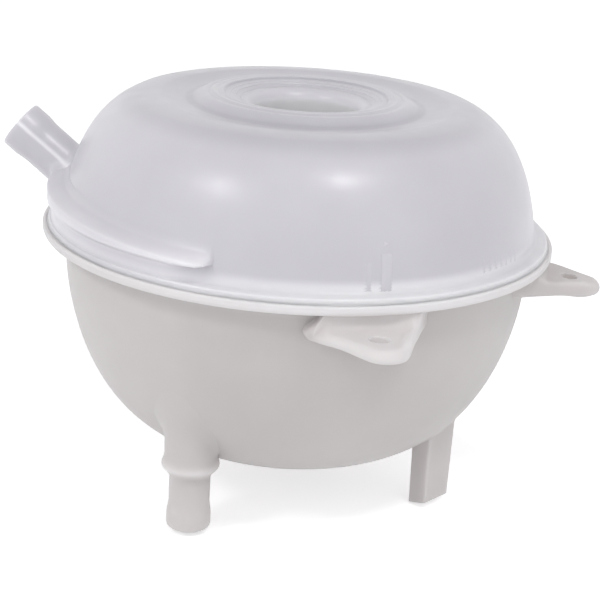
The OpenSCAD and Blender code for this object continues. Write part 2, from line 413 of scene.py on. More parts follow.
@dataclass(frozen=True)
class SideBand:
    """The band part of the way round above the flange.

    It is a pad with a bead above it, and its top rises towards the back.
    """

    sizes: TankSizes
    start: float = 89.0
    sweep: float = 115.0
    pad_r: float = 87.0
    bead_r: float = 88.7
    pad_z: float = 7.6
    top_z: float = 11.5
    tilt: float = 2.0
    tilt_from_y: float = -36.2
    end_fade: float = 1.6
    pad_fade: float = 11.0

    def window(self, angle: Array, height: Array) -> Array:
        """Give 1 along the band and 0 past its ends.

        The bead ends in a short slope, and the pad below it in a long one.

        Args:
            angle: Angles in degrees.
            height: Heights above the weld plane.

        Returns:
            How much of the band stands out at each.
        """
        half = self.sweep / 2
        gap = np.abs(turn_gap(angle, self.start + half))
        fade = self.end_fade + (self.pad_fade - self.end_fade) * (
            1.0 - smooth_step(self.pad_z - 1.2, self.pad_z + 0.6, height))
        return 1.0 - smooth_step(0.0, 1.0, (gap - half + fade) / fade)

    def lift(self, angle: Array) -> Array:
        """Give how far the band's top is raised at each angle: it tips up towards the back."""
        across = self.bead_r * np.sin(np.radians(angle))
        return math.tan(math.radians(self.tilt)) * np.clip(across, self.tilt_from_y, None)

    def rows(self) -> Array:
        """Give the outline's rows through the band and over its top.

        Returns:
            Rows of the band's radius, the height, and the share of the lift that the row takes.
        """
        foot, pad, bead = self.sizes.upper_flange_t, self.pad_r, self.bead_r
        low, top = self.pad_z, self.top_z
        side = [(pad + 0.33, foot + 0.03), (pad + 0.27, foot + 0.12), (pad + 0.19, foot + 0.3),
                (pad + 0.1, foot + 0.58), (pad + 0.03, foot + 0.95), (pad, foot + 1.5), (pad, foot + 2.5),
                (pad + 0.02, foot + 3.6), (pad + 0.08, low - 1.2), (pad + 0.3, low - 0.55),
                (pad + 0.6, low - 0.25), (pad + 1.0, low - 0.02), (bead - 0.35, low + 0.2),
                (bead - 0.08, low + 0.48), (bead, low + 0.8)]
        shelf = [(bead, top - 1.75), (bead - 0.13, top - 1.45), (bead - 0.4, top - 1.22),
                 (bead - 0.9, top - 1.02), (bead - 2.2, top - 0.72), (bead - 3.4, top - 0.4),
                 (bead - 4.4, top - 0.05), (bead - 5.1, top + 0.3), (bead - 5.7, top + 0.75),
                 (bead - 6.15, top + 1.3)]
        # A radius of 1 lies inside the dome, so those rows take the dome's own radius.
        above = [(bead - 6.5, top + 2.0, 0.93), (1.0, top + 3.2, 0.75), (1.0, top + 4.6, 0.5),
                 (1.0, top + 6.2, 0.22)]
        low_rows = np.insert(np.array(side), 2, 0.0, axis=1)
        top_rows = np.insert(np.array(shelf), 2, 1.0, axis=1)
        return np.concatenate([low_rows, top_rows, np.array(above)])

    def radius(self, angle: Array, height: Array) -> Array:
        """Give the band's outer radius, straight between the rows as they lie at each angle.

        Args:
            angle: Angles in degrees.
            height: Heights above the weld plane.

        Returns:
            The radius at each.
        """
        rows = self.rows()
        height = np.asarray(height, float)
        levels = rows[:, 1] + rows[:, 2] * np.asarray(self.lift(angle), float)[..., None]
        after = np.clip((levels < height[..., None]).sum(axis=-1), 1, len(rows) - 1)
        low = np.take_along_axis(levels, after[..., None] - 1, axis=-1)[..., 0]
        high = np.take_along_axis(levels, after[..., None], axis=-1)[..., 0]
        share = np.clip((height - low) / (high - low), 0.0, 1.0)
        return rows[after - 1, 0] * (1.0 - share) + rows[after, 0] * share


@dataclass(frozen=True)
class UpperShell:
    """The upper moulding: dome, dished crown, raised ring, filler neck, band, vent spigot and level marks."""

    sizes: TankSizes
    weld_z: float

    @property
    def band(self) -> SideBand:
        """Give the band above the flange."""
        return SideBand(self.sizes)

    @property
    def vent(self) -> VentSpigot:
        """Give the vent spigot, which springs from the wall's outside."""
        return VentSpigot(self.sizes, self.outer_radius)

    def plain_radius(self, height: Array) -> Array:
        """Give the dome's radius above the flange, with the small fillet at its foot.

        Args:
            height: Heights above the weld plane.

        Returns:
            The dome's radius plus the fillet's f - sqrt(f squared - depth into the fillet squared).
        """
        fillet = self.sizes.foot_fillet
        into = np.clip(self.sizes.upper_flange_t + fillet - height, 0.0, fillet)
        return self.sizes.dome_radius(height) + fillet - np.sqrt(fillet**2 - into**2)

    def outer_radius(self, angle: Array, height: Array) -> Array:
        """Give the wall's outer radius, band and flange included.

        Args:
            angle: Angles in degrees.
            height: Heights above the weld plane.

        Returns:
            The radius at each.
        """
        s = self.sizes
        height = np.asarray(height, float)
        plain = self.plain_radius(height)
        wide = np.maximum(plain, self.band.radius(angle, height))
        blended = plain + (wide - plain) * self.band.window(angle, height)
        return np.where(height < s.upper_flange_t, s.upper_flange_r, blended)

    def outer_line(self) -> Array:
        """Give the outside's rows from the weld plane up over the crown and down into the neck.

        The weld bead stands out of the flange's edge and dips a little into the lower flange.

        Returns:
            Rows of radius, height, share of the band's lift, and the band's radius, which is 0 past the band.
            A radius of 0 stands for the dome's own.
        """
        s = self.sizes
        edge, bead, dip = s.upper_flange_r, s.upper_flange_r + s.weld_out, -s.weld_dip
        flange = np.concatenate([
            line((s.tank_r - s.wall, 0.0), (edge, 0.0), 6),
            np.array([(edge, dip), (bead, dip)]),
            bend([bead, dip], [edge + 0.14, 0.3], [edge, 0.95], 8),
            arc((edge - 0.6, s.upper_flange_t - 0.6), 0.6, 0, 90, 7)])
        ledge = line((edge - 0.7, s.upper_flange_t), (s.tank_r + 1.5, s.upper_flange_t), 6)
        ledge = np.column_stack([ledge, np.zeros(6), np.linspace(edge - 0.61, edge - 0.66, 6)])
        band = self.band.rows()
        banded = np.column_stack([np.zeros(len(band)), band[:, 1:], band[:, 0]])
        dome = quarter(s.tank_r, s.dome_h, s.dome_along, s.dome_up, s.dome_turn, 60) + [0, s.dome_z]
        dome = dome[dome[:, 1] > s.dome_join_z]
        top = np.concatenate([dome, self.crown_line(dome[-1]), self.ring_line()])
        flange, top = (np.pad(rows, ((0, 0), (0, 2))) for rows in (flange, top))
        return np.concatenate([flange, ledge, banded, top])

    def crown_line(self, last: Array) -> Array:
        """Give the crown's outline from the dome's end to the crease beside the raised ring.

        Args:
            last: Radius and height of the dome's last point.

        Returns:
            Rows of radius and height.
        """
        s = self.sizes
        crown = bend(last, [s.crown_r, s.crown_z + 0.2], [s.crown_r - 5.7, s.crown_z], 12)
        dish = bend(crown[-1], [s.ring_r + 7.5, s.dip_z + 0.2], [s.ring_r + 3.4, s.dip_z + 0.06], 10)
        crease = bend(dish[-1], [s.ring_r + 1.5, s.dip_z + 0.05], [s.ring_r - 0.6, s.dip_z + 1.42], 12)
        return np.concatenate([crown, dish, crease])

    def ring_line(self) -> Array:
        """Give the raised ring's fine steps, the stepped slope inside it and the neck's rounded mouth.

        Returns:
            Rows of radius and height.
        """
        s = self.sizes
        ring = np.array([(-1.3, -1.42), (-2.0, -0.98), (-2.5, -0.72), (-2.85, -0.54), (-3.1, -0.43),
                         (-3.4, -0.37), (-4.3, -0.36), (-4.55, -0.47), (-4.95, -0.48), (-5.2, -0.33),
                         (-6.1, -0.22), (-6.35, -0.06), (-6.65, -0.01), (-7.4, -0.04), (-7.65, -0.12),
                         (-8.05, -0.12), (-8.3, -0.02), (-9.2, 0.0)]) + [s.ring_r, s.rim_z]
        rim = np.array([(0.0, -0.02), (-0.22, -0.14), (-0.42, -0.45), (-0.62, -0.62), (-1.3, -0.75),
                        (-2.6, -0.95), (-2.8, -1.2), (-3.1, -1.26), (-4.4, -1.5), (-4.6, -1.78),
                        (-4.9, -1.84), (-6.0, -2.2)]) + [s.rim_r, s.rim_z]
        mouth = arc((s.neck_bore_r + s.neck_mouth_r, s.neck_top_z), s.neck_mouth_r, 84, 180, 14)
        return np.concatenate([ring, rim, mouth])

    def inner_line(self) -> Array:
        """Give the inside's outline from the neck's bore round the inner ceiling down to the weld plane.

        Returns:
            Rows of radius and height.
        """
        s = self.sizes
        tube_r = s.neck_bore_r + s.wall
        end_z = s.neck_top_z - s.neck_l
        bore = line((s.neck_bore_r, s.neck_top_z - 0.5), (s.neck_bore_r, end_z + 0.4), 8)
        lip = np.concatenate([arc((s.neck_bore_r + 0.4, end_z + 0.4), 0.4, 180, 270, 4),
                              arc((tube_r - 0.4, end_z + 0.4), 0.4, 270, 360, 4)])
        ceiling = np.array([(tube_r, s.slope_z - s.wall - 1.5), (tube_r + 1.5, s.slope_z - s.wall),
                            (s.rim_r - 2.0, s.rim_z - s.wall - 1.2), (s.ring_r - 2.2, s.rim_z - s.wall - 0.7),
                            (s.ring_r + s.wall / 2, s.dip_z - s.wall)])
        dome = quarter(s.tank_r - s.wall, s.dome_h - s.wall, s.dome_along, s.dome_up, s.dome_turn, 28)
        dome = dome[::-1] + [0, s.dome_z]
        crown = bend(ceiling[-1], [s.crown_r, s.crown_z + 0.2 - s.wall], dome[0], 6)
        return np.concatenate([bore, lip, respaced(ceiling, 3.0), crown[:-1], dome[:-1]])

    def angles(self) -> Array:
        """Give the angles of the grid's columns, with more of them at the band's two ends.

        Returns:
            The angles in degrees, rising.
        """
        even = np.linspace(0.0, 360.0, WALL_COLUMNS, endpoint=False)
        step = np.linspace(-1.1, 1.1, 9)
        ends = [self.band.start, self.band.start + self.band.sweep]
        close = np.concatenate([end + step for end in ends]) % 360.0
        far = np.all([np.abs(turn_gap(even, end)) > 1.5 for end in ends], axis=0)
        return np.sort(np.concatenate([even[far], close]))

    def wall_grid(self) -> tuple[Array, Array]:
        """Turn the closed outline round the axis, with the band standing out of it.

        The band's rows are raised by their share of its lift, and each takes the dome's radius past its ends.

        Returns:
            The points as (outline, angle, 3) and the shade of each.
        """
        outside = self.outer_line()
        rows = np.concatenate([outside, np.pad(self.inner_line(), ((0, 0), (0, 2)))])
        angle = self.angles()
        height = rows[:, 1:2] + rows[:, 2:3] * self.band.lift(angle)[None, :]
        radius = np.repeat(rows[:, :1], len(angle), axis=1)
        banded = rows[:, 3] > 0.0
        own = rows[banded, :1]
        plain = np.where(own > 0.0, own, self.plain_radius(height[banded]))
        wide = np.maximum(plain, rows[banded, 3:4])
        radius[banded] = plain + (wide - plain) * self.band.window(angle[None, :], rows[banded, 1:2])
        plan = polar(angle)
        grid = np.stack([radius * plan[:, 0], radius * plan[:, 1], height], axis=-1)
        return grid, self.wall_shade(radius, height, angle, len(outside))

    def wall_shade(self, radius: Array, height: Array, angle: Array, outside: int) -> Array:
        """Give each point of the wall its shade.

        It is pale on the flange and along the band, most at the band's end, and a little on the ring. Painted
        light makes the flange paler over the front lug, the neck pale and the inside palest; painted shade
        darkens the crown, the recess inside the ring and the ring's creases.

        Args:
            radius: Radius of each point.
            height: Height of each point.
            angle: Angle of each column.
            outside: Number of rows on the outside.

        Returns:
            The shades, each from 0 to 1.
        """
        s = self.sizes
        flange = 1.0 - smooth_step(s.upper_flange_t + 1.0, s.upper_flange_t + 5.0, height)
        # Painted light: the flange is paler over the front lug.
        flange = flange * (0.45 + 0.55 * over_front_lug(angle))[None, :]
        front = 0.55 + 0.45 * hump(turn_gap(angle, self.band.start + self.band.sweep), 0.0, 14.0)
        band = self.band.window(angle[None, :], height) * front[None, :]
        band = band * hump(height, self.band.pad_z + 0.6, 3.4)
        ring = hump(radius, (s.ring_r + s.rim_r) / 2, 5.0) * (height > s.dip_z)
        # Painted light: the neck's bore is painted pale, as if light came through the walls; less at the
        # mouth.
        neck = (1.0 - smooth_step(s.neck_bore_r + 0.5, s.neck_bore_r + 4.0, radius)) * (
            1.0 - 0.7 * smooth_step(s.neck_top_z - 0.5, s.neck_top_z + 2.5, height))
        pale = np.maximum.reduce([flange, 0.6 * band, 0.1 * ring, neck])
        shade = Shade.WALL.value + (Shade.PALEST_TONE.value - Shade.WALL.value) * pale
        # Painted shade: darker towards the crown, which gets the most light from above.
        shade -= 0.22 * smooth_step(s.dome_z + 38.0, s.dome_z + 43.4, height) * (radius > s.rim_r)
        # Painted shade in the recess inside the ring, outside the neck's bore.
        shade -= 0.15 * (1.0 - neck) * (height > s.dip_z - 2.0) * (radius <= s.rim_r)
        # Painted shade along the crease beside the raised ring and along the step inside its rim.
        lines = hump(radius, s.ring_r + 1.9, 1.3) + 0.8 * hump(radius, s.rim_r - 0.5, 0.7)
        shade -= 0.25 * lines * (height > s.dip_z - 0.2)
        # Painted light: the inside is palest, so that the inside and the neck look lit through the walls.
        shade[outside:] = Shade.PALEST_TONE.value
        return np.clip(shade, 0.0, 1.0)

    def build(self) -> bpy.types.Object:
        """Make the upper shell's piece.

        Returns:
            The object, with the vent's hole cut through its wall.
        """
        wall = MeshParts(self.weld_z)
        grid, shade = self.wall_grid()
        wall.add_grid(grid, shade, wrap_rows=True, wrap_columns=True)
        piece = wall.build("upper_shell_skin")
        tube, marks = MeshParts(self.weld_z), MeshParts(self.weld_z)
        self.vent.add_to(tube)
        LevelMarks(self.sizes).add_to(marks)
        combine(piece, tube.build("vent_tube"), Join.FUSE)
        combine(piece, marks.build("level_marks"), Join.FUSE)
        combine(piece, self.vent.cutter(self.weld_z), Join.CUT)
        smoothed(piece)
        return piece


@dataclass(frozen=True)
class VentSpigot:
    """The slanted hose spigot on the upper shell, with its parting line and its soft root."""

    sizes: TankSizes
    surface: Callable[[Array, Array], Array]
    angle: float = 122.0
    tilt: float = 37.0
    foot_z: float = 9.5
    length: float = 27.0
    shaft_r: float = 8.45
    flare: float = 0.5
    land_l: float = 6.0
    bore_r: float = 5.9
    seam_at: float = 21.0
    seam_h: float = 0.28
    root_side: float = 5.0
    root_least: float = 0.5
    root_more: float = 2.3
    root_l: float = 3.8
    reach_in: float = 14.0
    reach_out: float = 20.0
    columns: int = 120

    @property
    def turns(self) -> Array:
        """Give the angle of each column round the spigot's own axis."""
        return np.linspace(0.0, 360.0, self.columns, endpoint=False)

    def axes(self) -> tuple[Array, Array, Array, Array]:
        """Give the spigot's own directions.

        Returns:
            The foot of its axis, the direction along it, and the two directions across it.
        """
        plan = polar(self.angle)
        rise = math.radians(self.tilt)
        foot = np.array([*(plan * (self.sizes.tank_r - 0.8)), self.foot_z])
        along = np.array([*(plan * math.cos(rise)), math.sin(rise)])
        side = np.array([-plan[1], plan[0], 0.0])
        return foot, along, side, np.cross(along, side)

    def ring(self, distance: Array, radius: Array) -> Array:
        """Give rings of points about the axis: foot + distance along + radius times the turning unit vector.

        Args:
            distance: Distance of each ring along the axis, or of each point.
            radius: Radius of each ring, or of each point.

        Returns:
            The points as (ring, column, 3).
        """
        foot, along, side, over = self.axes()
        across = polar(self.turns)
        unit = across[:, :1] * side + across[:, 1:] * over
        shape = np.broadcast_shapes(np.shape(distance), np.shape(radius), (1, self.columns))
        distance = np.broadcast_to(distance, shape)
        radius = np.broadcast_to(radius, shape)
        return foot + distance[..., None] * along + radius[..., None] * unit

    def seam(self, distance: Array) -> Array:
        """Give 1 on the parting line of each ring and 0 off it; the line widens towards the root.

        Args:
            distance: Distance of each point along the axis.

        Returns:
            The share of the line's height at each point: two bells, on opposite sides.
        """
        width = 4.2 + 7.0 * hump(distance, -1.0, 5.0)
        return hump(turn_gap(self.turns, self.seam_at) / width, 0.0, 1.0) + hump(
            turn_gap(self.turns, self.seam_at + 180.0) / width, 0.0, 1.0)

    def emerging(self, radius: Array) -> Array:
        """Find where lines along the axis at a radius leave the shell, by halving the stretch that holds it.

        Args:
            radius: Radius of the line in each column.

        Returns:
            The distance along the axis for each column.
        """
        low = np.full(self.columns, -self.reach_in)
        high = np.full(self.columns, self.reach_out)
        for _ in range(HALVINGS):
            middle = (low + high) / 2
            inside = self.depth(self.ring(middle[None, :], radius[None, :])[0]) < 0
            low = np.where(inside, middle, low)
            high = np.where(inside, high, middle)
        return (low + high) / 2

    def depth(self, points: Array) -> Array:
        """Give how far each point lies outside the shell's wall along the radius, negative inside."""
        angle = np.degrees(np.arctan2(points[:, 1], points[:, 0]))
        return np.hypot(points[:, 0], points[:, 1]) - self.surface(angle, points[:, 2])

    def add_to(self, parts: MeshParts) -> None:
        """Add the solid tube, whose root widens softly where it leaves the wall.

        Args:
            parts: The mesh to add it to.
        """
        land = self.shaft_r + self.flare
        end = self.length
        meet = self.emerging(np.full(self.columns, self.shaft_r))[None, :]
        # The root's rows follow the wall, and the plain ones start where the whole ring is clear of it.
        clear = float(meet.max()) + 4.6
        outline = np.concatenate([
            respaced(np.array([(clear, self.shaft_r), (end - self.land_l - 4.0, self.shaft_r),
                               (end - self.land_l - 1.6, land - 0.2), (end - self.land_l, land),
                               (end - 0.5, land)]), 1.4),
            arc((end - 0.5, land - 0.5), 0.5, 90, 0, 5)[1:],
            np.array([(end, self.bore_r + 0.9), (end, self.bore_r - 1.0)])])
        past = np.array([-1.3, -0.3, 0.15, 0.5, 0.9, 1.4, 2.0, 2.8, 3.8])[:, None]
        distance = np.concatenate([meet + past, np.repeat(outline[:, :1], self.columns, axis=1)])
        spread = self.root_least + self.root_more * hump(turn_gap(self.turns, self.root_side), 0.0, 60.0)
        flare = spread * np.clip(1.0 - (past + 0.3) / self.root_l, 0.0, 1.0) ** 2.3
        radius = np.concatenate([self.shaft_r + np.minimum(flare, spread),
                                 np.repeat(outline[:, 1:], self.columns, axis=1)])
        # The parting line stops short of the end face.
        raised = np.ones((len(radius), 1))
        raised[-3:] = 0.0
        seam = self.seam(distance) * raised
        tube = self.ring(distance, radius + self.seam_h * seam)
        # Painted highlight along the parting line and painted light on the soft root; elsewhere the tube is a
        # little darker than the wall, as painted shade.
        root = 0.3 * hump(distance - meet, 0.0, 3.0)
        shade = np.clip(0.3 + 0.3 * root + 0.6 * np.clip(seam, 0.0, 1.0), 0.0, 1.0)
        parts.add_tube(tube, shade)

    def cutter(self, weld_z: float) -> bpy.types.Object:
        """Make the plug that cuts the spigot's bore through the wall.

        Args:
            weld_z: Height of the weld plane in the frame, in metres.

        Returns:
            The plug as an object of its own.
        """
        parts = MeshParts(weld_z)
        end, bore = self.length, self.bore_r
        outline = np.array([(-self.reach_in, bore), (0.0, bore), (end - 0.4, bore),
                            (end - 0.12, bore + 0.12), (end, bore + 0.4), (end + 1.0, bore + 0.4)])
        plug = self.ring(outline[:, :1], outline[:, 1:])
        parts.add_tube(plug, Shade.BORE.value)
        return parts.build("vent_plug")


@dataclass(frozen=True)
class LevelMarks:
    """The low bar, the pointer and the short ticks on the dome's wall."""

    sizes: TankSizes
    bar_angle: float = -118.0
    bar_w: float = 3.4
    bar_h: float = 0.22
    bar_top: float = 12.5
    side_bar_gap: float = 4.0
    side_bar_w: float = 1.2
    side_bar_h: float = 0.09
    pointer_w: float = 1.6
    pointer_h: float = 0.12
    ticks: int = 7
    tick_from: float = -91.0
    tick_gap: float = 2.3
    tick_w: float = 0.55
    tick_h: float = 0.07

    def relief(self, outline: Array, height: float, parts: MeshParts, shade: Shade = Shade.MARK) -> None:
        """Raise a flat shape with soft edges out of the dome's wall.

        Rings of the outline shrink towards its middle: the first is sunk, the next two round the edge.

        Args:
            outline: Corners as rows of angle in degrees and height in millimetres.
            height: How far the shape stands out.
            parts: The mesh to add it to.
            shade: The shape's shade.
        """
        closed = np.vstack([outline, outline[:1]])
        rim = respaced(closed * [self.sizes.tank_r * math.radians(1.0), 1.0], 0.5)[:-1]
        middle = rim.mean(axis=0)
        away = rim - middle
        length = np.linalg.norm(away, axis=1, keepdims=True)
        rings, lifts = [], []
        for inset, lift in ((-0.12, -0.25), (0.0, 0.35 * height), (0.14, 0.85 * height), (0.34, height)):
            rings.append(rim - away / length * np.minimum(inset, 0.8 * length))
            lifts.append(np.full(len(rim), lift))
        flat = np.stack(rings)
        angle = flat[..., 0] / (self.sizes.tank_r * math.radians(1.0))
        radius = self.sizes.dome_radius(flat[..., 1]) + np.stack(lifts)
        plan = polar(angle)
        grid = np.stack([radius * plan[..., 0], radius * plan[..., 1], flat[..., 1]], axis=-1)
        tones = [Shade.WALL.value, Shade.WALL.value, shade.value, shade.value]
        parts.add_tube(grid, np.array(tones)[:, None])

    def bar(self, angle: float, width: float, low: float, high: float) -> Array:
        """Give the corners of an upright bar.

        Args:
            angle: Middle of the bar in degrees.
            width: Its width in millimetres.
            low: Height of its foot.
            high: Height of its top.

        Returns:
            Corners as rows of angle and height.
        """
        left, right = self.sides(angle, width)
        return np.array([(left, low), (right, low), (right, high), (left, high)])

    def sides(self, angle: float, width: float) -> tuple[float, float]:
        """Give the angles half a width to either side of an angle."""
        half = math.degrees(width / 2 / self.sizes.tank_r)
        return angle - half, angle + half

    def add_to(self, parts: MeshParts) -> None:
        """Add all the marks.

        Args:
            parts: The mesh to add them to.
        """
        foot = self.sizes.upper_flange_t + 0.9
        top = self.sizes.upper_flange_t + self.bar_top
        self.relief(self.bar(self.bar_angle, self.bar_w, foot, top), self.bar_h, parts)
        side_bar = self.bar(self.bar_angle - self.side_bar_gap, self.side_bar_w, foot, top - 2.5)
        self.relief(side_bar, self.side_bar_h, parts)
        left, right = self.sides(self.bar_angle, self.pointer_w)
        pointer = np.array([(left, top + 2.1), (right, top + 2.9), (left, top + 3.7)])
        self.relief(pointer, self.pointer_h, parts, Shade.POINTER)
        for step in range(self.ticks):
            shorter = 0.3 * (step % 2)
            angle = self.tick_from + self.tick_gap * step
            self.relief(self.bar(angle, self.tick_w, 3.9 + shorter, 8.4 - shorter), self.tick_h, parts)


@dataclass(frozen=True)
class OutletSpigot:
    """The upright hose spigot under the bowl, with its collar and end bead."""

    sizes: TankSizes
    angle: float = -167.7
    at_r: float = 63.3
    below: float = 14.0
    shaft_r: float = 7.0
    bead: float = 0.6
    bead_l: float = 5.1
    collar_r: float = 9.9
    root_up: float = 9.0
    waist_up: float = 4.0
    least_room: float = 0.06
    most_room: float = 1.7
    row_fall: float = 0.02
    bore_r: float = 4.5
    columns: int = 120

    def centre(self) -> Array:
        """Give the spigot's place in plan."""
        return polar(self.angle) * self.at_r

    def rings(self, radius: Array, height: Array, onto: float) -> Array:
        """Turn rows about the spigot's axis, level or laid along the bowl.

        Args:
            radius: Radius of each row, or of each point.
            height: Height of each, or its height above the bowl where it is laid on that.
            onto: 1 where the rows are laid on the bowl, 0 where they are level.

        Returns:
            The points as (row, column, 3).
        """
        plan = polar(np.linspace(0.0, 360.0, self.columns, endpoint=False))
        across = self.centre() + np.broadcast_to(radius, (len(radius), self.columns))[..., None] * plan
        level = height + onto * self.sizes.bowl_height(np.linalg.norm(across, axis=-1))
        return np.concatenate([across, level[..., None]], axis=-1)

    def boss(self, radius: float, waist: float) -> Array:
        """Make the boss's rows from inside the bowl's wall down its soft root, lower where there is room.

        Args:
            radius: The boss's radius.
            waist: Height of the boss's waist.

        Returns:
            The points as (row, column, 3).
        """
        bowl = self.rings(np.array([[radius]]), np.zeros((1, 1)), 1.0)[0, :, 2]
        room = np.clip((bowl - waist + 2.0) / 7.0, self.least_room, self.most_room)[None, :]
        out = np.array([2.4, 2.4, 2.1, 1.5, 0.95, 0.5, 0.2, 0.04])[:, None]
        fall = np.array([-1.2, -0.25, 0.1, 0.45, 0.95, 1.6, 2.5, 3.6])[:, None]
        return self.rings(radius + out * room, np.where(fall < 0.0, -fall, -fall * room), 1.0)

    def add_to(self, parts: MeshParts) -> None:
        """Add the solid tube with its soft root, collar and bead.

        Args:
            parts: The mesh to add it to.
        """
        s = self.sizes
        end = s.bowl_bottom_z - self.below
        root = s.bowl_bottom_z + self.root_up
        bead_r = self.shaft_r + self.bead
        boss_r = self.collar_r - 0.9
        bead_top = end + self.bead_l + 0.7
        waist = root + self.waist_up
        collar, shaft = self.collar_r, self.shaft_r
        side = np.array([
            (boss_r, waist), (boss_r + 0.1, root + 3.0), (boss_r + 0.42, root + 1.6),
            (collar - 0.08, root + 0.5), (collar, root - 0.1), (collar - 0.25, root - 0.8),
            (collar - 1.3, root - 2.0), (shaft + 0.7, root - 3.1), (shaft + 0.1, root - 4.0),
            (shaft, root - 5.2), (shaft, bead_top + 3.4), (shaft + 0.22, bead_top + 1.6),
            (bead_r - 0.08, bead_top), (bead_r, bead_top - 1.4), (bead_r, end + 1.3),
            (bead_r - 0.2, end + 0.5), (bead_r - 0.8, end)])
        face = np.array([(self.bore_r + 0.8, end), (self.bore_r - 1.0, end)])
        plain = np.concatenate([respaced(side, 1.1), face])
        grid = np.concatenate([self.boss(boss_r, waist), self.rings(plain[:, :1], plain[:, 1:], 0.0)])
        # Every row but the last four lies at least row_fall below the one before it.
        falls = self.row_fall * np.arange(len(grid) - 4)[:, None]
        grid[:-4, :, 2] = np.minimum.accumulate(grid[:-4, :, 2] + falls, axis=0) - falls
        shade = Shade.PEG.value + 0.3 * hump(grid[..., 2], root - 0.2, 1.6)
        parts.add_tube(grid, shade)

    def cutter(self, weld_z: float) -> bpy.types.Object:
        """Make the plug that cuts the spigot's bore through the bowl.

        Args:
            weld_z: Height of the weld plane in the frame, in metres.

        Returns:
            The plug as an object of its own.
        """
        parts = MeshParts(weld_z)
        low = self.sizes.bowl_bottom_z
        end, bore = low - self.below, self.bore_r
        outline = np.array([(bore + 0.4, end - 1.0), (bore + 0.4, end), (bore + 0.12, end + 0.12),
                            (bore, end + 0.4), (bore, low), (bore, low + 40.0)])
        plug = self.rings(outline[:, :1], outline[:, 1:], 0.0)
        parts.add_tube(plug, Shade.BORE.value)
        return parts.build("outlet_plug")


@dataclass(frozen=True)
class LocatingPeg:
    """The upright peg under the bowl that drops into a grommet."""

    sizes: TankSizes
    x: float = 18.9
    front: float = 54.1
    thick: float = 8.2
    wide: float = 14.0
    below: float = 13.3
    slant: float = 2.2
    end_round: float = 0.7
    draft: float = 0.4
    corner: float = 1.0

    def outline(self, grow: float) -> Array:
        """Give the peg's rounded rectangle in plan: four corner arcs joined by straight sides.

        Args:
            grow: How far the outline is moved outwards.

        Returns:
            Rows of X and Y about the peg's middle, as many for any growth.
        """
        round_r = max(self.corner + grow, 0.2)
        half_x = self.wide / 2 + grow - round_r
        half_y = self.thick / 2 + grow - round_r
        corners = [(half_x, half_y, 0), (-half_x, half_y, 90),
                   (-half_x, -half_y, 180), (half_x, -half_y, 270)]
        arcs = [arc((x, y), round_r, a, a + 90, 7) for x, y, a in corners]
        ring = []
        for first, second in zip(arcs, arcs[1:] + arcs[:1]):
            ring += [first, line(tuple(first[-1]), tuple(second[0]), 10)[1:]]
        return np.concatenate(ring)

    def add_to(self, parts: MeshParts) -> None:
        """Add the peg, closed at both ends, with a small fillet where it leaves the bowl.

        Args:
            parts: The mesh to add it to.
        """
        end = self.sizes.bowl_bottom_z - self.below + self.end_round
        rows = []
        for grow, above in ((0.2, 1.3), (1.5, 0.5), (1.5, 0.04), (0.85, -0.2), (0.4, -0.6), (0.12, -1.1)):
            ring = self.outline(grow)
            rows.append(np.column_stack([ring, self.bowl_over(ring) + above]))
        top = self.bowl_over(self.outline(0.0)) - 1.8
        for share in np.linspace(0.0, 1.0, 12):
            ring = self.outline(-self.draft * share)
            rows.append(np.column_stack([ring, top + (end + self.slope(ring) - top) * share]))
        for inset, drop in ((0.06, 0.3), (0.22, 0.55), (0.6, self.end_round)):
            ring = self.outline(-self.draft - inset)
            rows.append(np.column_stack([ring, end - drop + self.slope(ring)]))
        parts.add_tube(np.stack(rows) + [self.x, -self.front, 0.0], Shade.PEG.value)

    def bowl_over(self, ring: Array) -> Array:
        """Give the bowl's height above each point of a ring about the peg's middle."""
        return self.sizes.bowl_height(np.hypot(ring[:, 0] + self.x, ring[:, 1] - self.front))

    def slope(self, ring: Array) -> Array:
        """Give how far the slanted end lies lower at each point of a ring, most at the back."""
        return -self.slant * (ring[:, 1] / self.thick + 0.5)


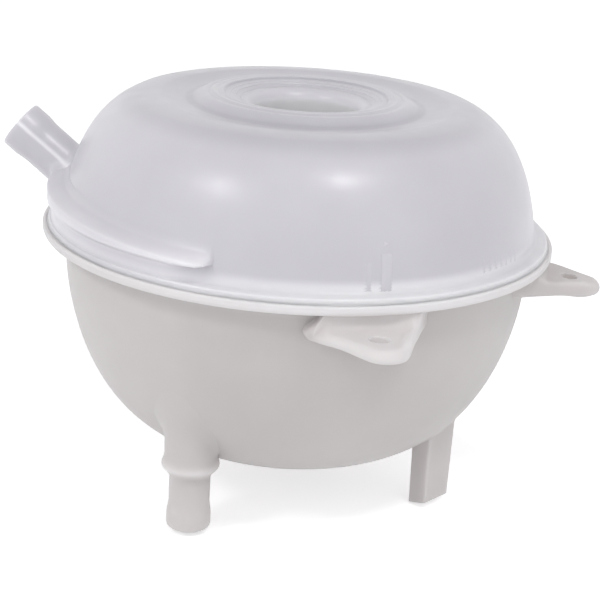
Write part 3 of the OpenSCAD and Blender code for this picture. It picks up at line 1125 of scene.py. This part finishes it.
@dataclass(frozen=True)
class Lug:
    """One mounting lug: a rounded triangle with a rim on its inner edge and a block up to the flange."""

    sizes: TankSizes
    mirrored: bool
    half_angle: float = 32.3
    out: float = 18.8
    tip_r: float = 7.8
    width: float = 41.0
    thick: float = 3.4
    drop: float = 4.8
    sag: float = 1.3
    rib_fall: float = 0.4
    hole_r: float = 3.25
    hole_out: float = 7.3
    hole_sides: int = 64
    tip_shift: float = 1.5
    right_tip_shift: float = 2.2
    crowd_r: float = 93.0
    root_taper: float = 4.0
    corner_cut: float = 3.0
    tip_drop: float = 1.0

    @property
    def top_z(self) -> float:
        """Give the height of the plate's top."""
        return -self.sizes.lower_flange_t - self.drop

    @property
    def tip_at(self) -> float:
        """Give how far the middle of the rounded tip lies from the tank's axis."""
        return self.sizes.flange_r + self.out - self.tip_r

    @property
    def face_r(self) -> float:
        """Give the radius of the block's face below the flange."""
        return self.sizes.flange_r - 1.6

    def placed(self, local: Array) -> Array:
        """Turn points from the lug's own frame, X away from the tank, to the tank's frame.

        Args:
            local: Points with X outwards, Y across towards the other lug, and the height.

        Returns:
            The same points in the tank's frame, mirrored for the right lug, with the tip moved a little
            towards the other lug.
        """
        turn = math.radians(-90.0 - self.half_angle)
        x = local[..., 0] * math.cos(turn) - local[..., 1] * math.sin(turn)
        y = local[..., 0] * math.sin(turn) + local[..., 1] * math.cos(turn)
        shift = self.right_tip_shift if self.mirrored else self.tip_shift
        x = x + shift * smooth_step(90.0, 106.0, local[..., 0])
        return np.stack([-x if self.mirrored else x, y, local[..., 2]], axis=-1)

    def edge(self, radius: Array, inset: Array) -> Array:
        """Give the plan of the lug's edge, moved inwards by inset, where it crosses circles about the tank.

        Along the straight side the edge's normal n holds n.p = c, so the point lies arccos(c / radius) off n.
        Round the tip it is where the two circles cross.

        Args:
            radius: Distance from the tank's axis.
            inset: How far the edge is moved inwards.

        Returns:
            X and Y of each point on the side towards the other lug.
        """
        run, half = self.tip_at - self.sizes.bowl_r, self.width / 2
        touch = math.pi / 2 - math.atan2(half, run) + math.asin(self.tip_r / math.hypot(run, half))
        tip_r = self.tip_r - inset
        reach = self.tip_at * math.cos(touch) + tip_r
        angle = touch - np.arccos(np.clip(reach / radius, -1.0, 1.0))
        x = (radius**2 + self.tip_at**2 - tip_r**2) / (2.0 * self.tip_at)
        y = np.sqrt(np.clip(radius**2 - x**2, 0.0, None))
        turn_r = np.hypot(self.tip_at + tip_r * math.cos(touch), tip_r * math.sin(touch))
        straight = radius < turn_r
        return np.stack([np.where(straight, radius * np.cos(angle), x),
                         np.where(straight, radius * np.sin(angle), y)], axis=-1)

    def sections(self) -> tuple[Array, Array]:
        """Give the sections across the lug, crowded towards its tip.

        Returns:
            The radius of each section, and how far the block climbs there, 0 to 1.
        """
        root = [(self.sizes.bowl_r - 1.4, 1.0), (83.5, 1.0), (86.0, 1.0), (self.face_r - 0.6, 1.0),
                (self.face_r - 0.1, 0.97), (self.face_r - 0.02, 0.6), (self.face_r, 0.2)]
        fillet = self.face_r + np.array([0.0, 0.08, 0.25, 0.55, 1.0, 1.5, 2.1, 2.8, 3.6])
        share = np.linspace(0.0, 1.0, 30)
        last = self.tip_at + self.tip_r
        rest = last - (last - self.crowd_r) * (1.0 - share) ** 2
        radius = np.concatenate([np.array(root)[:, 0], fillet, rest])
        return radius, np.concatenate([np.array(root)[:, 1], np.zeros(len(fillet) + len(rest))])

    def grid(self) -> Array:
        """Make the lug as closed sections from the root to the tip.

        Each section goes up the outer edge, over the top and the rim, down the inner edge and back below.

        Returns:
            The points as (section, place in the section, 3) in the lug's own frame.
        """
        # Each pair is how far inside the edge the point lies, and which share of the thickness up.
        outer = np.array([(2.4, 0.0), (1.1, 0.015), (0.45, 0.08), (0.1, 0.2), (0.0, 0.34), (0.02, 0.46),
                          (0.3, 0.66), (0.85, 0.83), (1.5, 0.94), (2.0, 0.98), (2.5, 0.998), (3.0, 1.0)])
        rim = np.array([(2.4, 0.0), (1.0, 0.01), (0.4, 0.06), (0.08, 0.16), (0.0, 0.3), (0.0, 0.9),
                        (0.08, 1.14), (0.4, 1.28), (1.0, 1.34), (1.8, 1.32), (2.5, 1.2), (3.6, 1.0)])
        radius, climb = self.sections()
        last = self.tip_at + self.tip_r
        # The inner edge's rim fades into the plain outer edge round the tip.
        fade = smooth_step(last - 5.5, last - 0.2, radius)[:, None, None]
        inner = rim[None] * (1.0 - fade) + outer[None] * fade
        outer = np.repeat(outer[None], len(radius), axis=0)
        across = np.linspace(0.0, 1.0, 12)[1:-1]
        flat = np.broadcast_to(radius[:, None], outer.shape[:2])
        # The root's outer side is set back, more towards its top, and its corner is cut.
        taper = self.root_taper * (1.0 - smooth_step(82.0, 92.0, flat))
        taper = taper * smooth_step(0.2, 0.8, outer[..., 1])
        taper = taper + self.corner_cut * (1.0 - smooth_step(80.3, 86.5, flat))
        outer = outer + np.stack([taper, np.zeros_like(taper)], axis=-1)
        near, far = (self.edge(self.squeezed(flat, side[..., 0]), side[..., 0]) for side in (outer, inner))
        near = near * [1.0, -1.0]
        top = between(near[:, -1], far[:, -1], across)
        below = between(far[:, 0], near[:, 0], across)
        plan = np.concatenate([near, top, far[:, ::-1], below], axis=1)
        rise = np.concatenate([outer[..., 1], np.ones((len(radius), len(across))), inner[:, ::-1, 1],
                               np.zeros((len(radius), len(across)))], axis=1)
        lean = np.concatenate([np.zeros(len(outer[0])), across, np.ones(len(rim)), across[::-1]])[None, :]
        # The underside sags at the root's outer side, falls a little below the rim and drops at the tip.
        rooted = 1.0 - smooth_step(82.0, 99.0, radius)[:, None]
        low = self.top_z - self.thick - self.sag * rooted * (1.0 - lean) ** 2 - self.rib_fall * lean**2 * (
            1.0 - smooth_step(last - 7.0, last, radius)[:, None])
        low = low - self.tip_drop * smooth_step(94.0, 106.0, radius)[:, None]
        # The plate's top swells up to the block's face, which climbs into the flange.
        swell = 2.2 + 2.2 * smooth_step(0.75, 1.0, lean)
        into = np.clip(self.face_r + swell - radius[:, None], 0.0, swell)
        blend = swell - np.sqrt(np.clip(swell**2 - into**2, 0.0, None))
        ceiling = -self.sizes.lower_flange_t + 1.0
        height = self.top_z + blend + climb[:, None] * (ceiling - self.top_z - blend)
        extra = np.clip(rise - 1.0, 0.0, None) * self.thick
        level = np.minimum(low + np.minimum(rise, 1.0) * (height - low) + extra, ceiling)
        return np.concatenate([plan, level[..., None]], axis=-1)

    def squeezed(self, radius: Array, inset: Array) -> Array:
        """Shrink the outer sections so that an inset edge also ends at its own tip.

        Args:
            radius: Radius of each section.
            inset: How far the edge is moved inwards.

        Returns:
            The radius, past crowd_r in proportion to the room that the inset leaves.
        """
        start = self.crowd_r
        last = self.tip_at + self.tip_r
        shrunk = start + (radius - start) * (last - inset - start) / (last - start)
        return np.where(radius > start, shrunk, radius)

    def body(self, weld_z: float) -> bpy.types.Object:
        """Make the lug without its hole; the left one is painted a little paler as painted light, and its
        root's outer corner keeps the darker tone as painted shade.

        Args:
            weld_z: Height of the weld plane in the frame, in metres.

        Returns:
            The lug as an object of its own.
        """
        local = self.grid()
        grid = self.placed(local)
        # Painted light on the left lug, fading to painted shade at its root's outer corner.
        palest = 0.0 if self.mirrored else 0.3
        root = np.hypot(local[..., 0] - self.sizes.bowl_r, local[..., 1] + self.width / 2)
        pale = palest * smooth_step(80.0, 86.0, local[..., 0]) * smooth_step(3.0, 15.0, root)
        parts = MeshParts(weld_z)
        parts.add_grid(grid, pale, wrap_rows=False, wrap_columns=True, cap_first=True)
        body = parts.build("lug")
        welded(body)
        return body

    def cutter(self, weld_z: float) -> bpy.types.Object:
        """Make the plug that cuts the bolt hole.

        Args:
            weld_z: Height of the weld plane in the frame, in metres.

        Returns:
            The plug as an object of its own.
        """
        turn = np.linspace(0.0, math.tau, self.hole_sides, endpoint=False)
        middle = self.sizes.flange_r + self.hole_out
        x, y = middle + self.hole_r * np.cos(turn), self.hole_r * np.sin(turn)
        ends = [np.stack([x, y, np.full_like(x, z)], axis=-1)
                for z in (self.top_z - 2.0 * self.thick, self.top_z + 3.0)]
        parts = MeshParts(weld_z)
        # The hole's wall is painted pale, as painted light where it would lie in shade.
        parts.add_tube(self.placed(np.stack(ends)), Shade.BOLT_HOLE.value)
        return parts.build("lug_plug")


@dataclass(frozen=True)
class LowerShell:
    """The lower moulding: bowl, flange ring, lugs, outlet spigot and locating peg."""

    sizes: TankSizes
    weld_z: float

    @property
    def outlet(self) -> OutletSpigot:
        """Give the outlet spigot."""
        return OutletSpigot(self.sizes)

    def outline(self) -> Array:
        """Give the wall's outline from the outside's lowest point over the flange to the inside's.

        Returns:
            Rows of radius and height, the last INSIDE_ROWS of them inside the bowl.
        """
        s = self.sizes
        edge, under, fillet_r = s.flange_r, -s.lower_flange_t, s.foot_fillet
        bowl = quarter(s.bowl_r, s.bowl_depth, s.bowl_along, s.bowl_up, 90.0, 74)[::-1]
        bowl = np.stack([bowl[:, 0], s.bowl_z - bowl[:, 1]], axis=1)
        collar = line((s.bowl_r, s.bowl_z), (s.bowl_r, under - fillet_r), 6)[1:]
        fillet = arc((s.bowl_r + fillet_r, under - fillet_r), fillet_r, 180, 90, 6)
        flange = np.concatenate([
            line((s.bowl_r + 1.6, under), (edge - 1.5, under), 4),
            bend([edge - 1.4, under], [edge - 0.2, under + 0.1], [edge, -1.7], 8),
            line((edge, -1.5), (edge, -0.7), 3),
            arc((edge - 0.7, -0.7), 0.7, 0, 90, 8),
            line((edge - 0.9, 0.0), (s.bowl_r - s.wall, 0.0), 6)])
        inside = quarter(s.bowl_r - s.wall, s.bowl_depth - s.wall, s.bowl_along, s.bowl_up, 90.0, INSIDE_ROWS)
        inside = np.stack([inside[:, 0], s.bowl_z - inside[:, 1]], axis=1)
        outline = np.concatenate([bowl, collar, fillet, flange, inside])
        outline[0, 0] = outline[-1, 0] = POLE_R
        return outline

    def shade(self, outline: Array, angle: Array) -> Array:
        """Give each point of the wall its shade: pale on the flange, paler over the front lug and palest
        inside, both as painted light.

        Args:
            outline: The wall's rows, from the outside's lowest point to the inside's.
            angle: Angle of each column.

        Returns:
            The shades as (row, column).
        """
        pale = smooth_step(self.sizes.bowl_z + 5.0, -self.sizes.lower_flange_t, outline[:, 1])
        outside = outline[:, 0] > self.sizes.bowl_r - 0.5
        inside = np.arange(len(outline)) >= len(outline) - INSIDE_ROWS
        # Painted light: the flange is paler over the front lug.
        front = 0.3 + 0.4 * over_front_lug(angle)
        shade = np.where(outside, pale, 0.0)[:, None] * front[None, :]
        # Painted light: the inside is palest.
        return np.where(inside[:, None], Shade.PALEST_TONE.value, shade)

    def build(self) -> bpy.types.Object:
        """Make the lower shell's piece.

        Returns:
            The object, with the outlet's hole cut through its wall.
        """
        outline = self.outline()
        angle = np.linspace(0.0, 360.0, WALL_COLUMNS, endpoint=False)
        across = outline[:, :1, None] * polar(angle)[None]
        height = np.broadcast_to(outline[:, 1:, None], (*across.shape[:2], 1))
        grid = np.concatenate([across, height], axis=-1)
        wall = MeshParts(self.weld_z)
        wall.add_tube(grid, self.shade(outline, angle))
        piece = wall.build("lower_shell_skin")
        tube, peg = MeshParts(self.weld_z), MeshParts(self.weld_z)
        self.outlet.add_to(tube)
        LocatingPeg(self.sizes).add_to(peg)
        combine(piece, tube.build("outlet_tube"), Join.FUSE)
        combine(piece, peg.build("peg"), Join.FUSE)
        combine(piece, self.outlet.cutter(self.weld_z), Join.CUT)
        for mirrored in (False, True):
            lug = Lug(self.sizes, mirrored)
            combine(piece, lug.body(self.weld_z), Join.FUSE)
            combine(piece, lug.cutter(self.weld_z), Join.CUT)
        smoothed(piece)
        return piece


def combine(piece: bpy.types.Object, other: bpy.types.Object, how: Join) -> None:
    """Fuse a second closed shape with a piece, or cut it out, and remove the second one.

    Args:
        piece: The piece to change.
        other: The closed shape that is added or taken away.
        how: Whether it is fused or cut out.
    """
    keys = np.concatenate([point_keys(item.data) for item in (piece, other)])
    tones = np.concatenate([shades_of(item.data) for item in (piece, other)])
    modifier = piece.modifiers.new("shape", "BOOLEAN")
    modifier.object = other
    modifier.operation = how.value
    modifier.solver = "EXACT"
    bpy.context.view_layer.update()
    solid = bpy.data.meshes.new_from_object(piece.evaluated_get(bpy.context.evaluated_depsgraph_get()))
    piece.modifiers.clear()
    repaint(solid, keys, tones)
    piece.data = solid
    bpy.data.objects.remove(other)
    LOG.info("%s after %s: %d faces", piece.name, how.name.lower(), len(solid.polygons))


def point_keys(mesh: bpy.types.Mesh) -> Array:
    """Give one whole number for each point: its place in steps of a fifth of a micrometre, side by side.

    Args:
        mesh: The mesh.

    Returns:
        The numbers, each with KEY_BITS bits for X, for Y and for Z, counted from the middle of that range.
    """
    place = np.empty(len(mesh.vertices) * 3, np.float32)
    mesh.vertices.foreach_get("co", place)
    steps = np.round(place.reshape(-1, 3).astype(float) * KEY_STEPS_PER_M).astype(np.int64)
    steps += 2 ** (KEY_BITS - 1)
    return (steps[:, 0] << 2 * KEY_BITS) + (steps[:, 1] << KEY_BITS) + steps[:, 2]


def shades_of(mesh: bpy.types.Mesh) -> Array:
    """Give the shade of each point of a mesh.

    Args:
        mesh: The mesh.

    Returns:
        The shades, in the order of its points.
    """
    values = np.empty(len(mesh.vertices), np.float32)
    mesh.attributes[SHADE_NAME].data.foreach_get("value", values)
    return values.astype(float)


def repaint(mesh: bpy.types.Mesh, keys: Array, tones: Array) -> None:
    """Give a fused mesh the shades of the two meshes it came from, point by place.

    A point that is new, where the two cross, takes the mean of the neighbours that have a shade.

    Args:
        mesh: The fused mesh.
        keys: The places of all points of the two meshes, as whole numbers.
        tones: Their shades.
    """
    order = np.argsort(keys, kind="stable")
    keys, tones = keys[order], tones[order]
    own = point_keys(mesh)
    at = np.clip(np.searchsorted(keys, own), 0, len(keys) - 1)
    found = keys[at] == own
    shade = np.where(found, tones[at], Shade.WALL.value)
    pairs = np.empty(len(mesh.edges) * 2, np.int32)
    mesh.edges.foreach_get("vertices", pairs)
    pairs = pairs.reshape(-1, 2)
    pairs = np.concatenate([pairs, pairs[:, ::-1]])
    for _ in range(SPREAD_ROUNDS):
        known = pairs[found[pairs[:, 0]]]
        total = np.bincount(known[:, 1], shade[known[:, 0]], len(shade))
        count = np.bincount(known[:, 1], minlength=len(shade))
        new = ~found & (count > 0)
        shade[new] = total[new] / count[new]
        found |= new
    mesh.attributes[SHADE_NAME].data.foreach_set("value", shade.astype(np.float32))


def smoothed(piece: bpy.types.Object) -> None:
    """Shade a piece smoothly, with a break only where two faces meet at more than SHARP_DEG.

    Args:
        piece: The piece, whose points are merged first.
    """
    welded(piece)
    piece.data.shade_smooth()
    piece.data.set_sharp_from_angle(angle=math.radians(SHARP_DEG))


def welded(piece: bpy.types.Object) -> None:
    """Merge points that fall together, so that a shape that closes on itself has no open edge.

    Args:
        piece: The piece to change.
    """
    mesh = bmesh.new()
    mesh.from_mesh(piece.data)
    bmesh.ops.remove_doubles(mesh, verts=mesh.verts, dist=MERGE_M)
    bmesh.ops.dissolve_degenerate(mesh, edges=mesh.edges, dist=SLIVER_M)
    mesh.to_mesh(piece.data)
    mesh.free()


@dataclass(frozen=True)
class MilkyPlastic:
    """Finish of milky translucent polypropylene: paler where it is thick and under painted light, darker
    under painted shade, with a fine moulded skin.
    """

    name: str
    # thin is the colour at shade 0, for thin plastic and painted shade; thick is the one at shade 1, for
    # thick plastic and painted light.
    thin: tuple[float, float, float]
    thick: tuple[float, float, float]
    roughness: float
    gloss: float
    coat: float
    skin_depth: float
    skin_m: float = 0.0002
    cloud_scale: float = 22.0
    flow_scale: float = 140.0
    skin_scale: float = 900.0
    ior: float = 1.49
    coat_roughness: float = 0.3
    scatter: float = 0.8
    scatter_reach: tuple[float, float, float] = (1.0, 0.97, 0.95)
    scatter_m: float = 0.005

    def material(self) -> bpy.types.Material:
        """Make the finish as a node material on Object coordinates and the shade attribute.

        The colour goes from thin to thick with the shade, which also holds painted light and painted shade,
        and is clouded by a few percent. The gloss follows a finer pattern, and the finest one is the moulded
        skin.

        Returns:
            The material.
        """
        made = bpy.data.materials.new(self.name)
        made.use_nodes = True
        nodes, links = made.node_tree.nodes, made.node_tree.links
        surface = nodes["Principled BSDF"]
        place = nodes.new("ShaderNodeTexCoord")
        milk_and_painted_light = nodes.new("ShaderNodeAttribute")
        milk_and_painted_light.attribute_name = SHADE_NAME
        cloud = self.noise(nodes, links, place, self.cloud_scale, 3.0)
        flow = self.noise(nodes, links, place, self.flow_scale, 4.0)
        skin = self.noise(nodes, links, place, self.skin_scale, 2.0)
        mix = nodes.new("ShaderNodeMix")
        mix.data_type = "RGBA"
        mix.inputs["A"].default_value = (*self.thin, 1.0)
        mix.inputs["B"].default_value = (*self.thick, 1.0)
        links.new(milk_and_painted_light.outputs["Fac"], mix.inputs["Factor"])
        tint = nodes.new("ShaderNodeHueSaturation")
        value = mapped(nodes, links, cloud, NOISE_SPAN, (0.965, 1.035))
        links.new(value, tint.inputs["Value"])
        links.new(mix.outputs["Result"], tint.inputs["Color"])
        links.new(tint.outputs["Color"], surface.inputs["Base Color"])
        rough_span = (self.roughness - 0.05, self.roughness + 0.07)
        rough = mapped(nodes, links, flow, NOISE_SPAN, rough_span)
        links.new(rough, surface.inputs["Roughness"])
        bump = nodes.new("ShaderNodeBump")
        bump.inputs["Strength"].default_value = self.skin_depth
        bump.inputs["Distance"].default_value = self.skin_m
        links.new(skin, bump.inputs["Height"])
        links.new(bump.outputs["Normal"], surface.inputs["Normal"])
        surface.inputs["Specular IOR Level"].default_value = self.gloss
        surface.inputs["IOR"].default_value = self.ior
        surface.inputs["Coat Weight"].default_value = self.coat
        surface.inputs["Coat Roughness"].default_value = self.coat_roughness
        surface.inputs["Subsurface Weight"].default_value = self.scatter
        surface.inputs["Subsurface Radius"].default_value = self.scatter_reach
        surface.inputs["Subsurface Scale"].default_value = self.scatter_m
        return made

    @staticmethod
    def noise(nodes: bpy.types.Nodes, links: bpy.types.NodeLinks, place: bpy.types.Node, scale: float,
              detail: float) -> bpy.types.NodeSocket:
        """Add a noise pattern on Object coordinates.

        Args:
            nodes: The node tree's nodes.
            links: The node tree's links.
            place: The Texture Coordinate node.
            scale: How many waves a metre holds.
            detail: How many finer octaves are laid over them.

        Returns:
            The output that holds the pattern.
        """
        made = nodes.new("ShaderNodeTexNoise")
        made.inputs["Scale"].default_value = scale
        made.inputs["Detail"].default_value = detail
        links.new(place.outputs["Object"], made.inputs["Vector"])
        return made.outputs["Fac"]


def mapped(nodes: bpy.types.Nodes, links: bpy.types.NodeLinks, source: bpy.types.NodeSocket,
           given: tuple[float, float], wanted: tuple[float, float]) -> bpy.types.NodeSocket:
    """Map a number straight from one range to another, held at the ends.

    Args:
        nodes: The node tree's nodes.
        links: The node tree's links.
        source: The output that holds the number.
        given: The range it comes in.
        wanted: The range it is brought to.

    Returns:
        The output that holds the mapped number.
    """
    made = nodes.new("ShaderNodeMapRange")
    for name, value in zip(("From Min", "From Max", "To Min", "To Max"), (*given, *wanted)):
        made.inputs[name].default_value = value
    links.new(source, made.inputs["Value"])
    return made.outputs["Result"]


def heading(azimuth: float, elevation: float) -> tuple[float, float, float]:
    """Give the unit vector from the tank towards an azimuth and an elevation in degrees, 0 being in front."""
    turn, rise = math.radians(azimuth), math.radians(elevation)
    return math.sin(turn) * math.cos(rise), -math.cos(turn) * math.cos(rise), math.sin(rise)


@dataclass(frozen=True)
class Lamp:
    """One soft square lamp, aimed at the tank."""

    name: str
    azimuth: float
    elevation: float
    distance: float
    width: float
    power: float

    def place(self, target: Vector) -> None:
        """Put the lamp round the target, facing it.

        Args:
            target: The point it is aimed at.
        """
        away = Vector(heading(self.azimuth, self.elevation))
        data = bpy.data.lights.new(self.name, "AREA")
        data.size = self.width
        data.energy = self.power
        lamp = bpy.data.objects.new(self.name, data)
        lamp.location = target + away * self.distance
        lamp.rotation_mode = "QUATERNION"
        lamp.rotation_quaternion = away.to_track_quat("Z", "Y")
        bpy.context.scene.collection.objects.link(lamp)


@dataclass(frozen=True)
class Studio:
    """The plain floor, the pale surroundings, the lamps and the camera."""

    weld_z: float
    lamps: tuple[Lamp, ...]
    azimuth: float = -48.0
    elevation: float = 16.56
    roll: float = 3.57
    distance: float = 0.585
    aim_px: tuple[float, float] = (297.8, 231.7)
    focal_px: float = 1638.0
    picture_px: float = 600.0
    sensor_mm: float = 36.0
    aim_below: float = 0.0031
    side_light: float = 1.11
    top_light: float = 0.26
    side_span: tuple[float, float] = (0.1, 1.0)
    sky: tuple[float, float, float, float] = (0.97, 0.97, 1.0, 1.0)
    floor_half: float = 3.0
    floor_tone: tuple[float, float, float, float] = (0.92, 0.92, 0.92, 1.0)
    floor_glow: float = 0.5

    def camera(self) -> None:
        """Set the camera at the photograph's angle.

        It looks at a point on the tank's axis, is rolled, and is then turned so that the point lands
        at its place in the picture.
        """
        turn, roll = math.radians(self.azimuth), math.radians(self.roll)
        back = np.array(heading(self.azimuth, self.elevation))
        right = np.array([math.cos(turn), math.sin(turn), 0.0])
        up = np.cross(back, right)
        rolled_right = right * math.cos(roll) + up * math.sin(roll)
        rolled_up = -right * math.sin(roll) + up * math.cos(roll)
        half = self.picture_px / 2
        aim = Vector(((self.aim_px[0] - half) / self.focal_px, (half - self.aim_px[1]) / self.focal_px, 1.0))
        swing = np.array(Vector((0.0, 0.0, 1.0)).rotation_difference(aim.normalized()).to_matrix())
        aimed = swing @ np.stack([rolled_right, rolled_up, -back])
        columns = np.stack([aimed[0], aimed[1], -aimed[2]], axis=1)
        data = bpy.data.cameras.new("camera")
        data.sensor_width = self.sensor_mm
        data.lens = self.focal_px / self.picture_px * self.sensor_mm
        camera = bpy.data.objects.new("camera", data)
        place = back * self.distance + np.array([0.0, 0.0, self.weld_z - self.aim_below])
        camera.matrix_world = Matrix.Translation(Vector(place)) @ Matrix(columns.tolist()).to_4x4()
        bpy.context.scene.collection.objects.link(camera)
        bpy.context.scene.camera = camera

    def surroundings(self) -> None:
        """Make the world: soft grey light on the tank, and plain white where the camera looks past it."""
        world = bpy.data.worlds.new("studio")
        bpy.context.scene.world = world
        world.use_nodes = True
        nodes, links = world.node_tree.nodes, world.node_tree.links
        plain = nodes["Background"]
        plain.inputs["Color"].default_value = self.sky
        place = nodes.new("ShaderNodeTexCoord")
        split = nodes.new("ShaderNodeSeparateXYZ")
        links.new(place.outputs["Generated"], split.inputs["Vector"])
        fall = mapped(nodes, links, split.outputs["Z"], self.side_span, (self.side_light, self.top_light))
        links.new(fall, plain.inputs["Strength"])
        white = nodes.new("ShaderNodeBackground")
        white.inputs["Color"].default_value = WHITE
        white.inputs["Strength"].default_value = 1.0
        mix = nodes.new("ShaderNodeMixShader")
        links.new(seen(nodes, links), mix.inputs["Fac"])
        links.new(plain.outputs["Background"], mix.inputs[1])
        links.new(white.outputs["Background"], mix.inputs[2])
        links.new(mix.outputs["Shader"], nodes["World Output"].inputs["Surface"])

    def floor(self, low: float) -> None:
        """Lay the floor, which takes the tank's shadow and glows a little where the camera sees it.

        Args:
            low: The floor's height.
        """
        half = self.floor_half
        mesh = bpy.data.meshes.new("floor")
        corners = [(-half, -half, low), (half, -half, low), (half, half, low), (-half, half, low)]
        mesh.from_pydata(corners, [], [(0, 1, 2, 3)])
        ground = bpy.data.objects.new("floor", mesh)
        bpy.context.scene.collection.objects.link(ground)
        paint = bpy.data.materials.new("pale_floor")
        paint.use_nodes = True
        nodes, links = paint.node_tree.nodes, paint.node_tree.links
        surface = nodes["Principled BSDF"]
        surface.inputs["Base Color"].default_value = self.floor_tone
        surface.inputs["Roughness"].default_value = 0.9
        surface.inputs["Specular IOR Level"].default_value = 0.0
        glow = nodes.new("ShaderNodeEmission")
        glow.inputs["Color"].default_value = WHITE
        mix = nodes.new("ShaderNodeAddShader")
        dim = nodes.new("ShaderNodeMath")
        dim.operation = "MULTIPLY"
        dim.inputs[1].default_value = self.floor_glow
        links.new(seen(nodes, links), dim.inputs[0])
        links.new(dim.outputs["Value"], glow.inputs["Strength"])
        links.new(surface.outputs["BSDF"], mix.inputs[0])
        links.new(glow.outputs["Emission"], mix.inputs[1])
        links.new(mix.outputs["Shader"], nodes["Material Output"].inputs["Surface"])
        mesh.materials.append(paint)
        ground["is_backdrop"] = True

    def build(self, low: float) -> None:
        """Make the whole studio.

        Args:
            low: The floor's height.
        """
        target = Vector((0.0, 0.0, self.weld_z))
        self.camera()
        self.surroundings()
        self.floor(low)
        for lamp in self.lamps:
            lamp.place(target)
        bpy.context.scene.view_settings.view_transform = "Standard"


def seen(nodes: bpy.types.Nodes, links: bpy.types.NodeLinks) -> bpy.types.NodeSocket:
    """Give 1 for rays from the camera and for what shows in gloss and glass, and 0 for light rays.

    Args:
        nodes: The node tree's nodes.
        links: The node tree's links.

    Returns:
        The output that holds the number.
    """
    path = nodes.new("ShaderNodeLightPath")
    last = path.outputs["Is Camera Ray"]
    for kind in ("Is Glossy Ray", "Is Transmission Ray"):
        add = nodes.new("ShaderNodeMath")
        add.operation = "MAXIMUM"
        links.new(last, add.inputs[0])
        links.new(path.outputs[kind], add.inputs[1])
        last = add.outputs["Value"]
    return last


UPPER_FINISH = MilkyPlastic("milky_upper", thin=(0.50, 0.487, 0.525), thick=(0.955, 0.94, 0.965),
                            roughness=0.34, gloss=0.4, coat=0.4, skin_depth=0.06)
LOWER_FINISH = MilkyPlastic("milky_lower", thin=(0.655, 0.625, 0.612), thick=(0.98, 0.96, 0.962),
                            roughness=0.48, gloss=0.35, coat=0.0, skin_depth=0.12)
LAMPS = (Lamp("left_lamp", azimuth=-95.4, elevation=39.6, distance=1.3, width=0.2, power=2.6),
         Lamp("right_lamp", azimuth=-16.4, elevation=58.0, distance=1.3, width=0.2, power=3.4))


def dressed(piece: bpy.types.Object, finish: MilkyPlastic, node: str) -> None:
    """Give a piece its finish and let it stand for a node of the frame.

    Args:
        piece: The piece.
        finish: Its finish.
        node: The node's name; that part of the imported model is hidden.
    """
    piece.data.materials.clear()
    piece.data.materials.append(finish.material())
    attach(piece, "root")
    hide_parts(node)
    LOG.info("%s: %d faces", piece.name, len(piece.data.polygons))


def main() -> None:
    """Build the tank's pieces and the studio."""
    logging.basicConfig(level=logging.INFO)
    frame_box = [list(corner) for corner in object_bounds()]
    weld_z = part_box("lower_shell")[1].z
    sizes = TankSizes()
    dressed(UpperShell(sizes, weld_z).build(), UPPER_FINISH, "upper_shell")
    dressed(LowerShell(sizes, weld_z).build(), LOWER_FINISH, "lower_shell")
    Studio(weld_z, LAMPS).build(frame_box[0][2] - FLOOR_GAP_M)


if __name__ == "__main__":
    main()
